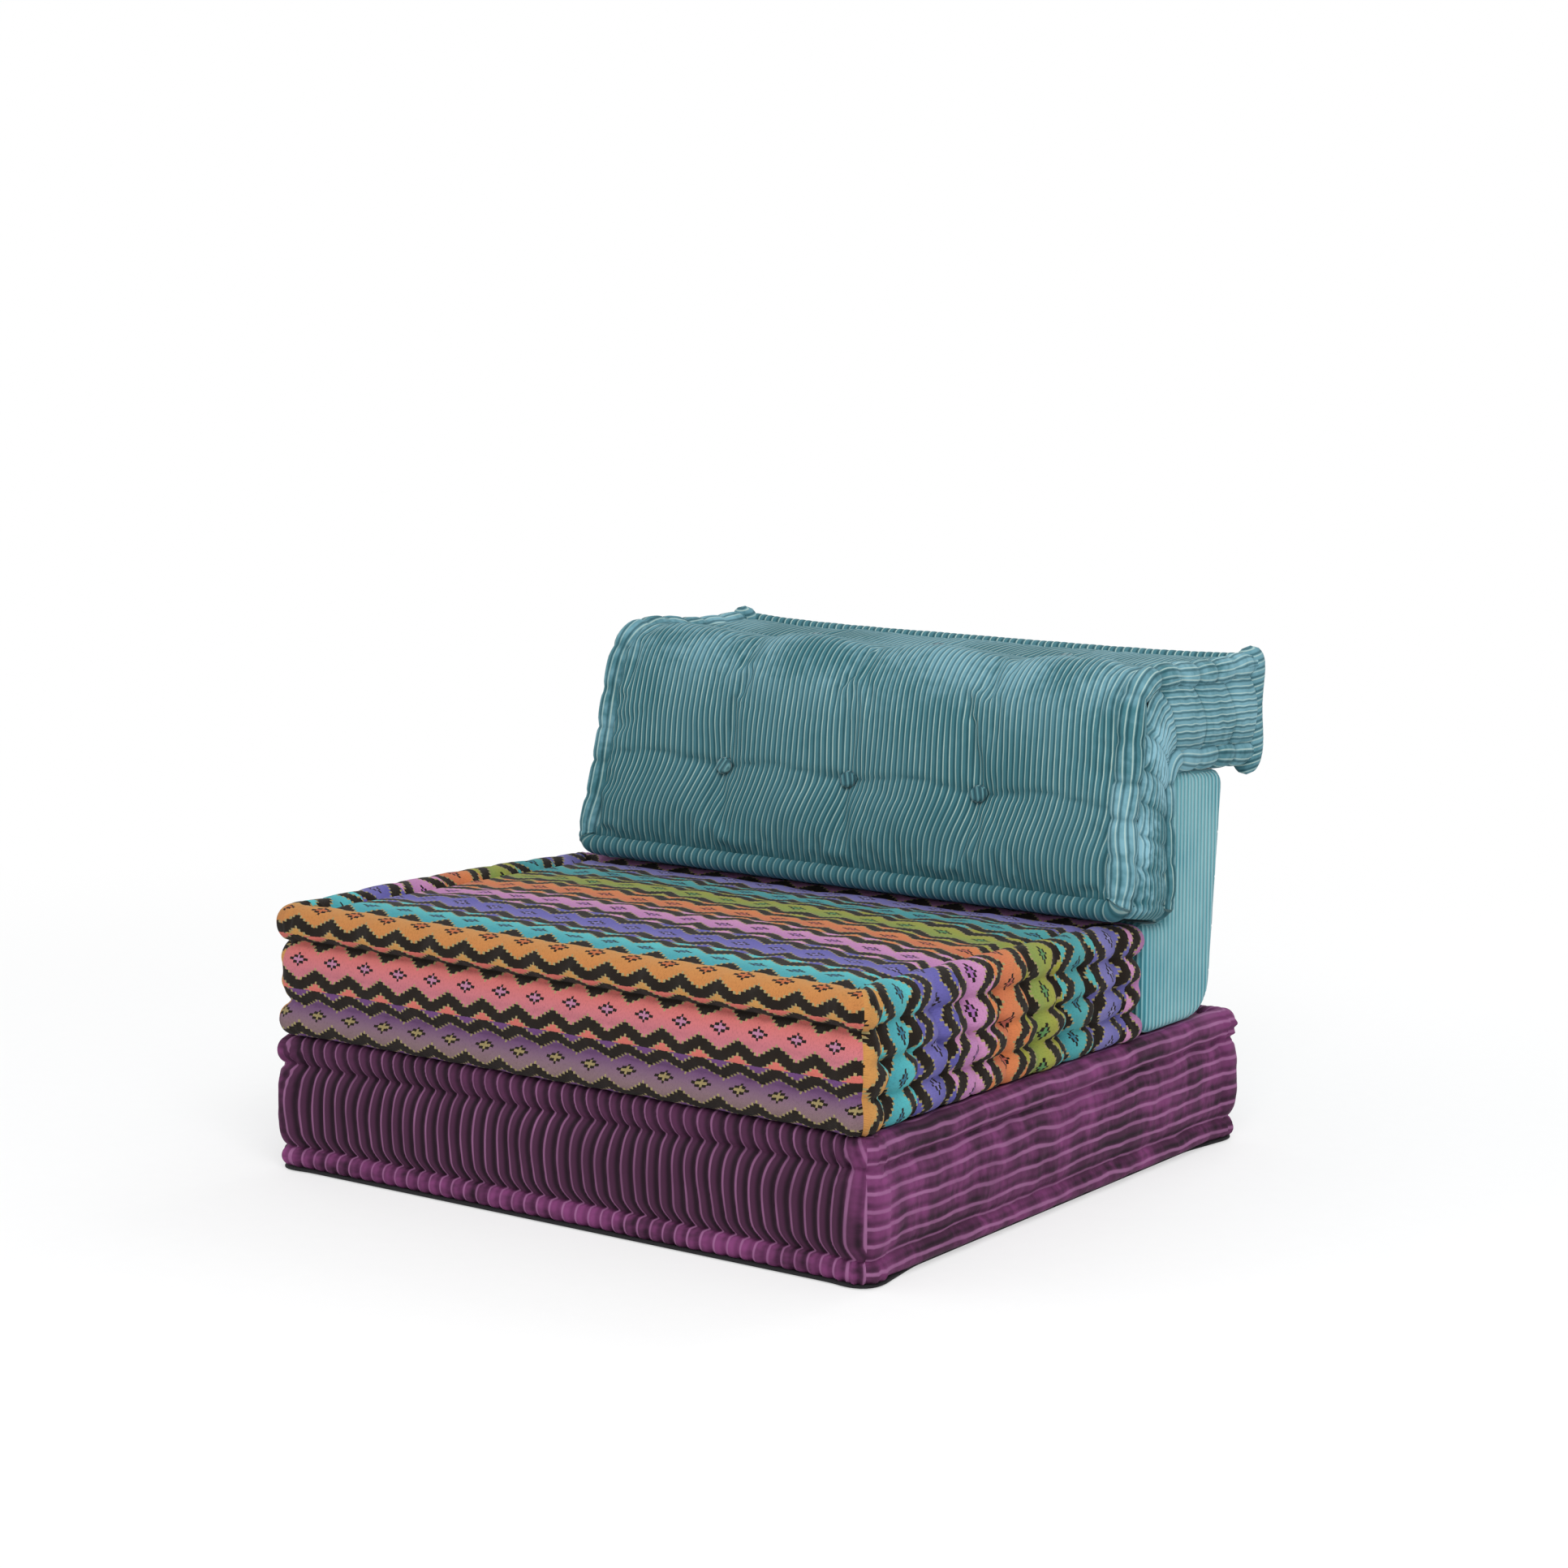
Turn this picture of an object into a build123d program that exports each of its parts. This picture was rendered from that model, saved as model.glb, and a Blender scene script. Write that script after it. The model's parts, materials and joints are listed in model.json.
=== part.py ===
from build123d import *

import os
from math import atan, cos, degrees, hypot, radians, sin, tan

# A low armless sofa section: an upholstered base, a loose seat mattress on it, an upright foam
# block behind the seat, and a second mattress folded over the block as the backrest.
# X runs across the sofa, Y from its front to its back, Z up, in millimetres.
# The origin is the middle of the base's footprint, on the floor.

# Base, and the gap that is left under each piece that rests on another
rest_gap = 0.3
base_width = 950.0
base_depth = 890.0
base_top = 181.0
base_corner = 46.0
base_top_roll_radius = 18.0
base_low_roll_radius = 14.0
base_roll_sag = 2.0
base_side_padding = 42.0
base_top_padding = 20.0
base_belly = 6.0
base_full_shares = (0.25, 0.75)

# Timber frame inside the base
rail_thickness = 22.0
rail_height = 96.0
cross_rail_count = 3
corner_block_size = 45.0
deck_thickness = 12.0
glide_radius = 18.0
glide_height = 5.0
glide_chamfer = 1.0
glide_pin_radius = 2.5
glide_pin_length = 20.0
dust_cover_thickness = 1.0
dust_cover_margin = 12.0
turn_under = 55.0
screw_radius = 2.0
screw_head_radius = 4.0
screw_head_height = 3.0
screw_length = 42.0
corner_screw_shares = (0.25, 0.75)
deck_screws_across = 4

# Seat mattress, a little narrower than the base
seat_side_step = 5.0
seat_width = base_width - 2 * seat_side_step
seat_depth = 642.0
seat_height = 175.0
seat_corner = 50.0
seat_top_roll_radius = 20.0
seat_low_roll_radius = 17.0
seat_rear_drop = 20.0
seat_crown = 9.0
crown_shares = ((0.15, 0.2), (0.75, 1.0))
seat_padding = 30.0
tuft_rows = 2
side_tufts = 11
side_tuft_puff = 6.0
seat_belly = 4.0

# Upright block, behind the seat
block_side_step = 10.0
block_width = base_width - 2 * block_side_step
block_depth = 180.0
block_rear_lean = 5.5
block_foot_radius = 52.0
block_toe_radius = 26.0
block_ledge_radius = 8.0
block_top_front_radius = 24.0
block_top_rear_radius = 22.0
block_end_radius = 12.0
block_front_gap = 4.0
non_slip_thickness = 1.5
zip_length = 800.0
zip_rise = 96.0
zip_tape_width = 30.0
zip_tape_thickness = 1.0
zip_chain_width = 6.0
zip_chain_thickness = 2.4
zip_slider_length = 14.0
zip_slider_width = 12.0
zip_slider_thickness = 4.8
zip_stop_length = 6.0
zip_clearance = 0.4

# Backrest mattress, folded over the block and lying a little to the right of the middle, with places
# measured from the base's front and the floor
back_side_step = 31.0
back_width = base_width - 2 * back_side_step
back_shift = 30.0
back_over_seat = 82.0
back_front_y = seat_depth - back_over_seat
back_above_seat = 13.7
back_front_low = base_top + rest_gap + seat_height - seat_rear_drop + back_above_seat
back_front_lean = 12.0
back_inner_lean = 5.5
back_low_thickness = 141.0
back_rise = 306.0
back_top = back_front_low + back_rise
back_reach = 418.0
back_rear_y = back_front_y + back_reach
back_rear_thickness = 152.0
back_under_fall = 5.0
back_corner = 38.0
back_roll_radius = 16.0
back_bend_radius = 62.0
back_fold_radius = 10.0
back_crown = 10.0
back_belly = 6.0
back_stitches = 5
back_padding = 24.0
bend_stop_shares = (1 / 3, 2 / 3)
rise_share = 0.2
cell_rise_share = 0.3
button_row_share = 0.2
button_pitch = 210.0
button_depth = 12.0
button_radius = 12.0
button_thickness = 7.0
button_dome_share = 0.6
button_lift = 4.0
shank_radius = 2.5
twine_radius = 1.2
washer_radius = 11.0
washer_thickness = 2.5
washer_cover = 9.0

# Shared
fabric = 2.5
seam_gap = 0.3
crease_depth = 6.0
side_crease = 6.0
overrun = 5.0
straight_within = 0.003

# Worked out from the sizes above
base_underside = glide_height + dust_cover_thickness
seat_floor = base_top + rest_gap
base_front = -base_depth / 2
block_floor = base_top + rest_gap


def depth_at(from_front):
    """Y of a place that is measured back from the base's front edge."""
    return base_front + from_front


def side_edges(start, end, outward, draw_in, cells, puff):
    """One side of an outline: cells that bulge outward along a line drawn in at its middle."""

    def at(share):
        return start + (end - start) * share - outward * (draw_in * 4 * share * (1 - share))

    edges = []
    for cell in range(cells):
        first, last = at(cell / cells), at((cell + 1) / cells)
        middle = at((cell + 0.5) / cells) + outward * puff
        if ((first + last) * 0.5 - middle).length < straight_within:
            edges.append(Edge.make_line(first, last))
        else:
            edges.append(Edge.make_three_point_arc(first, middle, last))
    return edges


def outline(half_x, half_y, corner, drop_of, draw_in, cells, puff):
    """A closed, rounded outline in a plane that drop_of gives as the height at each Y."""
    reach_x, reach_y = half_x - corner, half_y - corner

    def lift(point):
        return Vector(point.X, point.Y, drop_of(point.Y))

    def corner_edge(x, y, first_angle):
        spots = []
        for turn in (0, 45, 90):
            angle = radians(first_angle + turn)
            spots.append(lift(Vector(x + corner * cos(angle), y + corner * sin(angle), 0)))
        return Edge.make_three_point_arc(*spots)

    def run(start, end, outward, count, bulge):
        return side_edges(lift(start), lift(end), outward, draw_in, count, bulge)

    edges = run(Vector(-reach_x, -half_y, 0), Vector(reach_x, -half_y, 0), Vector(0, -1, 0), 1, 0)
    edges.append(corner_edge(reach_x, -reach_y, -90))
    edges += run(Vector(half_x, -reach_y, 0), Vector(half_x, reach_y, 0), Vector(1, 0, 0), cells, puff)
    edges.append(corner_edge(reach_x, reach_y, 0))
    edges += run(Vector(reach_x, half_y, 0), Vector(-reach_x, half_y, 0), Vector(0, 1, 0), 1, 0)
    edges.append(corner_edge(-reach_x, reach_y, 90))
    edges += run(Vector(-half_x, reach_y, 0), Vector(-half_x, -reach_y, 0), Vector(-1, 0, 0), cells, puff)
    edges.append(corner_edge(-reach_x, -reach_y, 180))
    return Wire(edges)


class Mattress:
    """A stuffed pad with a round roll along its upper and its lower edge."""

    def __init__(self, width, depth, height, corner, top_roll, low_roll, crown, sag=0.0, drop=0.0):
        self.width, self.depth, self.height, self.corner = width, depth, height, corner
        self.top_roll, self.low_roll = top_roll, low_roll
        self.crown, self.sag, self.drop = crown, sag, drop

    def section(self, inset, level, draw_in=0.0, cells=1, puff=0.0):
        """The outline at one inset and level, tilted where the pad is lower at its rear."""
        half_x, half_y = self.width / 2 - inset, self.depth / 2 - inset
        corner = max(self.corner - inset, self.corner / 3)
        fall = self.drop * level / self.height / self.depth

        def height_at(y):
            return level - fall * (y + self.depth / 2)

        return outline(half_x, half_y, corner, height_at, draw_in, cells, puff)

    def body(self, skin, rows=1, cells=1, puff=0.0, belly=0.0, full_shares=(0.5,)):
        """The stuffed body between the rolls, skin millimetres inside its outer surface."""
        side = side_crease + skin
        low, high = 2 * self.low_roll - self.sag, self.height - 2 * self.top_roll
        sections = [self.section(2 * self.low_roll, skin), self.section(side, low, belly)]
        row_height = (high - low) / rows
        for row in range(rows):
            for share in full_shares:
                level = low + row_height * (row + share)
                sections.append(self.section(max(side - belly, skin), level, belly, cells, puff))
            sections.append(self.section(side, low + row_height * (row + 1), belly))
        over = 2 * self.top_roll
        sections.append(self.section(over, self.height - crease_depth - skin))
        if self.crown:
            for in_share, up_share in crown_shares:
                inset = over + (self.depth / 2 - over) * in_share
                sections.append(self.section(inset, self.height - skin + self.crown * up_share))
        else:
            sections.append(self.section(over + crease_depth * 2, self.height - skin))
        return Solid.make_loft(self.matched(sections, cells), ruled=True)

    def matched(self, sections, cells):
        """Sections with as many edges each: plain sides are divided where others are tufted."""
        most = max(len(wire.edges()) for wire in sections)
        if all(len(wire.edges()) == most for wire in sections):
            return sections
        return [wire if len(wire.edges()) == most else divided(wire, cells) for wire in sections]

    def roll(self, radius, centre_radius, centre_level, drop):
        """A round roll along the edge, its centre centre_radius inside the outline."""
        half_x, half_y = self.width / 2 - centre_radius, self.depth / 2 - centre_radius
        bend = self.corner - centre_radius
        path = outline_path(half_x, half_y, bend, centre_level)
        tube = sweep(Plane(path @ 0, z_dir=path % 0) * Circle(radius), path=path)
        tilt = -degrees(atan(drop * centre_level / self.height / self.depth))
        hinge = Axis((0, -self.depth / 2, centre_level), (1, 0, 0))
        return tube.rotate(hinge, tilt)

    def top_roll_tube(self, skin):
        return self.roll(self.top_roll - skin, self.top_roll, self.height - self.top_roll, self.drop)

    def low_roll_tube(self, skin):
        return self.roll(self.low_roll - skin, self.low_roll, self.low_roll - self.sag, 0)


def divided(wire, cells):
    """The same outline with its two long sides along Y cut into equal lines."""
    edges = []
    for place, edge in enumerate(wire.edges()):
        if place in (2, 6):
            for cell in range(cells):
                edges.append(edge.trim(cell / cells, (cell + 1) / cells))
        else:
            edges.append(edge)
    return Wire(edges)


def outline_path(half_x, half_y, bend, level):
    """A rounded rectangle that starts at the middle of its front side, for a tube to follow."""
    start = (0, -half_y, level)
    right, rear, left = half_x - bend, half_y - bend, -half_x + bend
    quarter = sin(radians(45))

    def corner(x, y, across, along):
        far = bend * quarter
        first = (x + bend * across[0], y + bend * across[1], level)
        middle = (x + far * (across[0] + along[0]), y + far * (across[1] + along[1]), level)
        last = (x + bend * along[0], y + bend * along[1], level)
        return Edge.make_three_point_arc(first, middle, last)

    return Wire([
        Edge.make_line(start, (right, -half_y, level)),
        corner(right, -rear, (0, -1), (1, 0)),
        Edge.make_line((half_x, -rear, level), (half_x, rear, level)),
        corner(right, rear, (1, 0), (0, 1)),
        Edge.make_line((right, half_y, level), (left, half_y, level)),
        corner(left, rear, (0, 1), (-1, 0)),
        Edge.make_line((-half_x, rear, level), (-half_x, -rear, level)),
        corner(left, -rear, (-1, 0), (0, -1)),
        Edge.make_line((left, -half_y, level), start),
    ])


def fork(first, second, first_way, second_way):
    """Where two lines of the side plane meet, each given by a point and a direction."""
    across = first_way[0] * second_way[1] - first_way[1] * second_way[0]
    gap = (second[0] - first[0], second[1] - first[1])
    travel = (gap[0] * second_way[1] - gap[1] * second_way[0]) / across
    return along(first, first_way, travel)


def along(point, way, travel):
    """The place travel millimetres from a point of the side plane, in one direction."""
    return (point[0] + way[0] * travel, point[1] + way[1] * travel)


def at(across, point):
    """A point of the side plane, across millimetres to the right of the middle."""
    return Vector(across, point[0], point[1])


def bowed(first, middle, last):
    """An arc through three points, or a line where they lie in a row."""
    if ((first + last) * 0.5 - middle).length < straight_within:
        return Edge.make_line(first, last)
    return Edge.make_three_point_arc(first, middle, last)


class FoldLine:
    """A surface of the folded mattress from its side: it climbs, turns, and runs to the rear."""

    def __init__(self, low, climb_lean, rear, run_fall, radius):
        self.low, self.rear, self.radius = low, rear, radius
        self.climb_lean, self.run_fall = climb_lean, run_fall
        self.climb = (sin(radians(climb_lean)), cos(radians(climb_lean)))
        self.run = (cos(radians(run_fall)), -sin(radians(run_fall)))
        self.turn = 90 - climb_lean + run_fall
        knee = fork(low, rear, self.climb, self.run)
        tangent = radius * tan(radians(self.turn / 2))
        self.climb_end = along(knee, self.climb, -tangent)
        self.run_start = along(knee, self.run, tangent)
        self.centre = along(self.climb_end, self.inward(0), radius)
        self.climb_length = hypot(self.climb_end[0] - low[0], self.climb_end[1] - low[1])
        self.run_length = hypot(rear[0] - self.run_start[0], rear[1] - self.run_start[1])

    def inward(self, turned):
        """The direction towards the inside of the fold, after turning by turned degrees."""
        angle = radians(self.climb_lean + turned)
        return (cos(angle), -sin(angle))

    def moved_in(self, distance):
        """The same line, distance further towards the inside of the fold."""
        low = along(self.low, self.inward(0), distance)
        rear = along(self.rear, self.inward(self.turn), distance)
        return FoldLine(low, self.climb_lean, rear, self.run_fall, self.radius - distance)

    def climb_point(self, travel):
        return along(self.low, self.climb, travel)

    def bend_point(self, share):
        return along(self.centre, self.inward(self.turn * share), -self.radius)

    def run_point(self, back):
        """The place on the rearward run, back millimetres before its end."""
        return along(self.rear, self.run, -back)


def back_lines():
    """The outer and the inner surface of the folded mattress, seen from its side."""
    low = (depth_at(back_front_y), back_front_low)
    lean = radians((back_front_lean + back_inner_lean) / 2)
    low_in = along(low, (cos(lean), -sin(lean)), back_low_thickness)
    rear = (depth_at(back_rear_y), back_top)
    rear_in = (depth_at(back_rear_y), back_top - back_rear_thickness)
    outer = FoldLine(low, back_front_lean, rear, 0, back_bend_radius)
    inner = FoldLine(low_in, back_inner_lean, rear_in, back_under_fall, back_fold_radius)
    return outer, inner


def button_places():
    """How far to the right of the middle each button of a row is."""
    return [button_pitch * step for step in (-1, 0, 1)]


class FoldedMattress:
    """The stuffed body of the backrest, skin millimetres inside its outer surface."""

    def __init__(self, skin=0.0):
        self.skin = skin
        outer, inner = back_lines()
        self.outer, self.inner = outer.moved_in(skin), inner.moved_in(-skin)
        self.half = back_width / 2 - skin
        self.cut = 2 * back_roll_radius

    def section(self, near, far, half, cut, crease, pinch, crown=0.0, dip=0.0, belly=0.0):
        """The cross-section between a point of the outer line and one of the inner line."""
        rise = at(0, near) - at(0, far)
        thickness, axis = rise.length, rise.normalized()

        def spot(across, level):
            return at(across, far) + axis * level

        field, side, top = half - cut, half - pinch, thickness - crease
        stops = [-field] + button_places() + [field]
        levels = [top] + [thickness + crown - dip for _ in button_places()] + [top]
        lift = axis * ((crown + dip) * cell_rise_share)
        edges = []
        for place in range(len(stops) - 1):
            first = spot(stops[place], levels[place])
            last = spot(stops[place + 1], levels[place + 1])
            edges.append(bowed(first, (first + last) * 0.5 + lift, last))
        right = [spot(field, top), spot(side, thickness - cut), spot(side, cut), spot(field, 0)]
        left = [Vector(-point.X, point.Y, point.Z) for point in right]
        swell = Vector(belly, 0, 0)
        edges.append(Edge.make_line(right[0], right[1]))
        edges.append(bowed(right[1], (right[1] + right[2]) * 0.5 + swell, right[2]))
        edges.append(Edge.make_line(right[2], right[3]))
        edges.append(Edge.make_line(right[3], left[3]))
        edges.append(Edge.make_line(left[3], left[2]))
        edges.append(bowed(left[2], (left[1] + left[2]) * 0.5 - swell, left[1]))
        edges.append(Edge.make_line(left[1], left[0]))
        return Wire(edges)

    def end_cap(self, near, far):
        """The narrow face between the two rolls at an end of the pad."""
        way = (at(0, near) - at(0, far)).normalized()
        near = along(near, (way.Y, way.Z), -self.cut)
        far = along(far, (way.Y, way.Z), self.cut)
        return self.section(near, far, self.half - self.cut, side_crease, 0, 0)

    def fullness(self, travel):
        """How full the pad is at a place along a stretch, and how far its buttons draw it in there."""
        crown = back_crown * min(travel / rise_share, (1 - travel) / rise_share, 1.0)
        away = max(abs(travel - 0.5) - button_row_share / 2, 0)
        draw = max(1 - away / (0.5 - rise_share), 0)
        return crown, (button_depth + crown) * draw

    def stretch(self, pair_at):
        """The cross-sections of a straight stretch, with one more where the side bulges most."""
        stops = [stitch / back_stitches for stitch in range(back_stitches + 1)]
        yield self.full(*pair_at(0), *self.fullness(0), 0)
        for first, last in zip(stops, stops[1:]):
            (crown_a, dip_a), (crown_b, dip_b) = self.fullness(first), self.fullness(last)
            if not self.skin:
                middle = pair_at((first + last) / 2)
                yield self.full(*middle, (crown_a + crown_b) / 2, (dip_a + dip_b) / 2, back_belly)
            yield self.full(*pair_at(last), crown_b, dip_b, 0)

    def full(self, near, far, crown, dip, belly):
        """A cross-section of the pad at its full width."""
        return self.section(near, far, self.half, self.cut, crease_depth, side_crease, crown, dip, belly)

    def climb_pair(self, travel):
        near = self.outer.climb_point(self.cut + (self.outer.climb_length - self.cut) * travel)
        far = self.inner.climb_point(self.cut + (self.inner.climb_length - self.cut) * travel)
        return near, far

    def run_pair(self, travel):
        near = self.outer.run_point(self.cut + (self.outer.run_length - self.cut) * (1 - travel))
        far = self.inner.run_point(self.cut + (self.inner.run_length - self.cut) * (1 - travel))
        return near, far

    def body(self):
        inset = side_crease + self.skin
        sections = [self.end_cap(self.outer.climb_point(inset), self.inner.climb_point(inset))]
        sections += self.stretch(self.climb_pair)
        for share in bend_stop_shares:
            sections.append(self.full(self.outer.bend_point(share), self.inner.bend_point(share), 0, 0, 0))
        sections += self.stretch(self.run_pair)
        sections.append(self.end_cap(self.outer.run_point(inset), self.inner.run_point(inset)))
        return Solid.make_loft(sections, ruled=True)

    def button_rows(self):
        """For each row: planes at the bottom of its hollows, facing out, and the depth below them."""
        for near, far in (self.climb_pair(0.5), self.run_pair(0.5)):
            rise = at(0, near) - at(0, far)
            axis = rise.normalized()
            spots = [at(x, near) - axis * button_depth for x in button_places()]
            planes = [Plane(spot, x_dir=(1, 0, 0), z_dir=axis) for spot in spots]
            yield planes, rise.length - button_depth

    def core(self):
        """The foam slab inside the padding, folded as the mattress is."""
        outer, inner = self.outer.moved_in(back_padding), self.inner.moved_in(-back_padding)
        edges = [
            Edge.make_line(at(0, inner.climb_point(self.cut)), at(0, outer.climb_point(self.cut))),
            Edge.make_line(at(0, outer.climb_point(self.cut)), at(0, outer.climb_end)),
            Edge.make_three_point_arc(at(0, outer.climb_end), at(0, outer.bend_point(0.5)), at(0, outer.run_start)),
            Edge.make_line(at(0, outer.run_start), at(0, outer.run_point(self.cut))),
            Edge.make_line(at(0, outer.run_point(self.cut)), at(0, inner.run_point(self.cut))),
            Edge.make_line(at(0, inner.run_point(self.cut)), at(0, inner.run_start)),
            Edge.make_three_point_arc(at(0, inner.run_start), at(0, inner.bend_point(0.5)), at(0, inner.climb_end)),
            Edge.make_line(at(0, inner.climb_end), at(0, inner.climb_point(self.cut))),
        ]
        reach = self.half - self.cut
        return extrude(Face(Wire(edges)), amount=reach, dir=(1, 0, 0), both=True)


def back_roll(line, side, radius):
    """A round roll round one face of the folded mattress. side is 1 on its outer face, or -1."""
    core = line.moved_in(side * back_roll_radius)
    half = back_width / 2 - back_roll_radius
    bend = back_corner - back_roll_radius
    quarter = bend * (1 - sin(radians(45)))

    def climb(travel):
        return core.climb_point(back_roll_radius + travel)

    def run(travel):
        return core.run_point(back_roll_radius + travel)

    def leg(hand):
        """The right or the left half of the roll, from the middle of its low end to its rear end."""
        turn_in, edge = hand * (half - bend), hand * half
        corner = hand * (half - quarter)
        return [
            Edge.make_line(at(0, climb(0)), at(turn_in, climb(0))),
            Edge.make_three_point_arc(at(turn_in, climb(0)), at(corner, climb(quarter)), at(edge, climb(bend))),
            Edge.make_line(at(edge, climb(bend)), at(edge, core.climb_end)),
            Edge.make_three_point_arc(
                at(edge, core.climb_end), at(edge, core.bend_point(0.5)), at(edge, core.run_start)
            ),
            Edge.make_line(at(edge, core.run_start), at(edge, run(bend))),
            Edge.make_three_point_arc(at(edge, run(bend)), at(corner, run(quarter)), at(turn_in, run(0))),
            Edge.make_line(at(turn_in, run(0)), at(0, run(0))),
        ]

    path = Wire(leg(1) + [edge.reversed() for edge in reversed(leg(-1))])
    return sweep(Plane(path @ 0, z_dir=path % 0) * Circle(radius), path=path)


def disc(plane, radius, low, high):
    """A cylinder square to a plane, between two levels above it."""
    return extrude(plane.offset(low) * Circle(radius), amount=high - low)


def write(name, shape):
    export_step(shape, os.path.join("parts", name + ".step"))


def box(x, y, z):
    """A box between two places on each axis."""
    size = Box(x[1] - x[0], y[1] - y[0], z[1] - z[0])
    return Pos((x[0] + x[1]) / 2, (y[0] + y[1]) / 2, (z[0] + z[1]) / 2) * size


def screw(place, way):
    """A wood screw whose head is flush at a place and whose shank points along way."""
    head = Plane(place, z_dir=way)
    shank = extrude(head.offset(screw_head_height) * Circle(screw_radius), amount=screw_length)
    return extrude(head * Circle(screw_head_radius), amount=screw_head_height) + shank


def make_frame():
    """Rails, corner blocks, deck, screws and glides: the timber box inside the base."""
    half_x, half_y = base_width / 2 - base_side_padding, base_depth / 2 - base_side_padding
    floor = base_underside + fabric
    rail_top = floor + rail_height
    deck_top = rail_top + deck_thickness
    inner_x, inner_y = half_x - rail_thickness, half_y - rail_thickness
    level = (floor, rail_top)
    rails = {
        "base_front_rail": box((-half_x, half_x), (-half_y, -inner_y), level),
        "base_rear_rail": box((-half_x, half_x), (inner_y, half_y), level),
        "base_left_rail": box((-half_x, -inner_x), (-inner_y, inner_y), level),
        "base_right_rail": box((inner_x, half_x), (-inner_y, inner_y), level),
    }
    pitch = 2 * inner_x / (cross_rail_count + 1)
    cross_places = [pitch * (step + 1) - inner_x for step in range(cross_rail_count)]
    cross = [
        box((x - rail_thickness / 2, x + rail_thickness / 2), (-inner_y, inner_y), level) for x in cross_places
    ]
    blocks = []
    for side_x in (-1, 1):
        for side_y in (-1, 1):
            x = sorted((side_x * inner_x, side_x * (inner_x - corner_block_size)))
            y = sorted((side_y * inner_y, side_y * (inner_y - corner_block_size)))
            blocks.append(box(x, y, level))
    deck = box((-half_x, half_x), (-half_y, half_y), (rail_top, deck_top))

    frame_screws = []
    for side_x in (-1, 1):
        for side_y in (-1, 1):
            for share in corner_screw_shares:
                z = floor + rail_height * share
                x = side_x * (inner_x - corner_block_size / 2)
                y = side_y * (inner_y - corner_block_size / 2)
                frame_screws.append(screw((x, side_y * half_y, z), (0, -side_y, 0)))
                shift = screw_head_radius * 2 + screw_head_height
                frame_screws.append(screw((side_x * half_x, y, z + shift), (-side_x, 0, 0)))
    for x in cross_places:
        for side_y in (-1, 1):
            frame_screws.append(screw((x, side_y * half_y, floor + rail_height / 2), (0, -side_y, 0)))
    deck_screws = []
    rail_x, rail_y = half_x - rail_thickness / 2, half_y - rail_thickness / 2
    for step in range(deck_screws_across):
        share = (step + 0.5) / deck_screws_across
        x, y = half_x * (2 * share - 1), inner_y * (2 * share - 1)
        for side in (-1, 1):
            deck_screws.append(screw((x, side * rail_y, deck_top), (0, 0, -1)))
            deck_screws.append(screw((side * rail_x, y, deck_top), (0, 0, -1)))

    spots = [(0, 0)]
    for side_x in (-1, 1):
        for side_y in (-1, 1):
            middle = corner_block_size / 2
            spots.append((side_x * (inner_x - middle), side_y * (inner_y - middle)))
    glides = []
    for x, y in spots:
        foot = extrude(Pos(x, y, 0) * Circle(glide_radius), amount=glide_height)
        foot = foot.chamfer(glide_chamfer, None, foot.edges().group_by(Axis.Z)[0])
        pin = extrude(Pos(x, y, glide_height) * Circle(glide_pin_radius), amount=glide_pin_length)
        glides.append(foot + pin)

    cutters = frame_screws + deck_screws + glides
    for name, rail in rails.items():
        write(name, cut_near(rail, cutters))
    write("base_cross_rails", Compound([cut_near(rail, cutters) for rail in cross]))
    write("base_corner_blocks", Compound([cut_near(block, cutters) for block in blocks]))
    write("base_deck", cut_near(deck, deck_screws))
    write("base_frame_screws", Compound(frame_screws))
    write("base_deck_screws", Compound(deck_screws))
    write("base_glides", Compound(glides))
    return glides, deck_top


def cut_near(shape, cutters):
    """A shape less the cutters whose boxes reach it."""
    room = shape.bounding_box()
    near = [cutter for cutter in cutters if room.overlaps(cutter.bounding_box())]
    return shape - near if near else shape


def make_base():
    """The upholstered base: padding, rolls and cover round the timber frame."""
    glides, deck_top = make_frame()
    height = base_top - base_underside
    pad = Mattress(
        base_width, base_depth, height, base_corner, base_top_roll_radius, base_low_roll_radius, 0,
        sag=base_roll_sag
    )
    lift = Pos(0, 0, base_underside)
    half_x, half_y = base_width / 2 - base_side_padding, base_depth / 2 - base_side_padding
    foam_top = base_top - base_top_padding
    write("base_foam", box((-half_x, half_x), (-half_y, half_y), (deck_top, foam_top)))

    outer = pad.body(0, belly=base_belly, full_shares=base_full_shares)
    outer = outer + pad.top_roll_tube(0) + pad.low_roll_tube(0)
    inner = pad.body(fabric, belly=base_belly, full_shares=base_full_shares)
    inner = inner + pad.top_roll_tube(fabric) + pad.low_roll_tube(fabric)
    margin = base_side_padding + turn_under
    opening_x, opening_y = base_width / 2 - margin, base_depth / 2 - margin
    opening = box((-opening_x, opening_x), (-opening_y, opening_y), (-overrun, fabric + overrun))
    cover = lift * (outer - inner - opening)
    write("base_cover", cut_near(cover, glides))

    core = box((-half_x, half_x), (-half_y, half_y), (-overrun, foam_top - base_underside))
    wadding = pad.body(fabric + seam_gap, belly=base_belly, full_shares=base_full_shares) - core
    wadding = wadding - pad.top_roll_tube(fabric) - pad.low_roll_tube(fabric)
    write("base_wadding", lift * wadding)
    write("base_top_roll_filler", lift * pad.top_roll_tube(fabric + seam_gap))
    write("base_low_roll_filler", lift * pad.low_roll_tube(fabric + seam_gap))

    sheet_x, sheet_y = base_width / 2 - base_side_padding, base_depth / 2 - base_side_padding
    sheet_x, sheet_y = sheet_x - dust_cover_margin, sheet_y - dust_cover_margin
    sheet = box((-sheet_x, sheet_x), (-sheet_y, sheet_y), (glide_height, base_underside))
    write("base_dust_cover", cut_near(sheet, glides))


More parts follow.
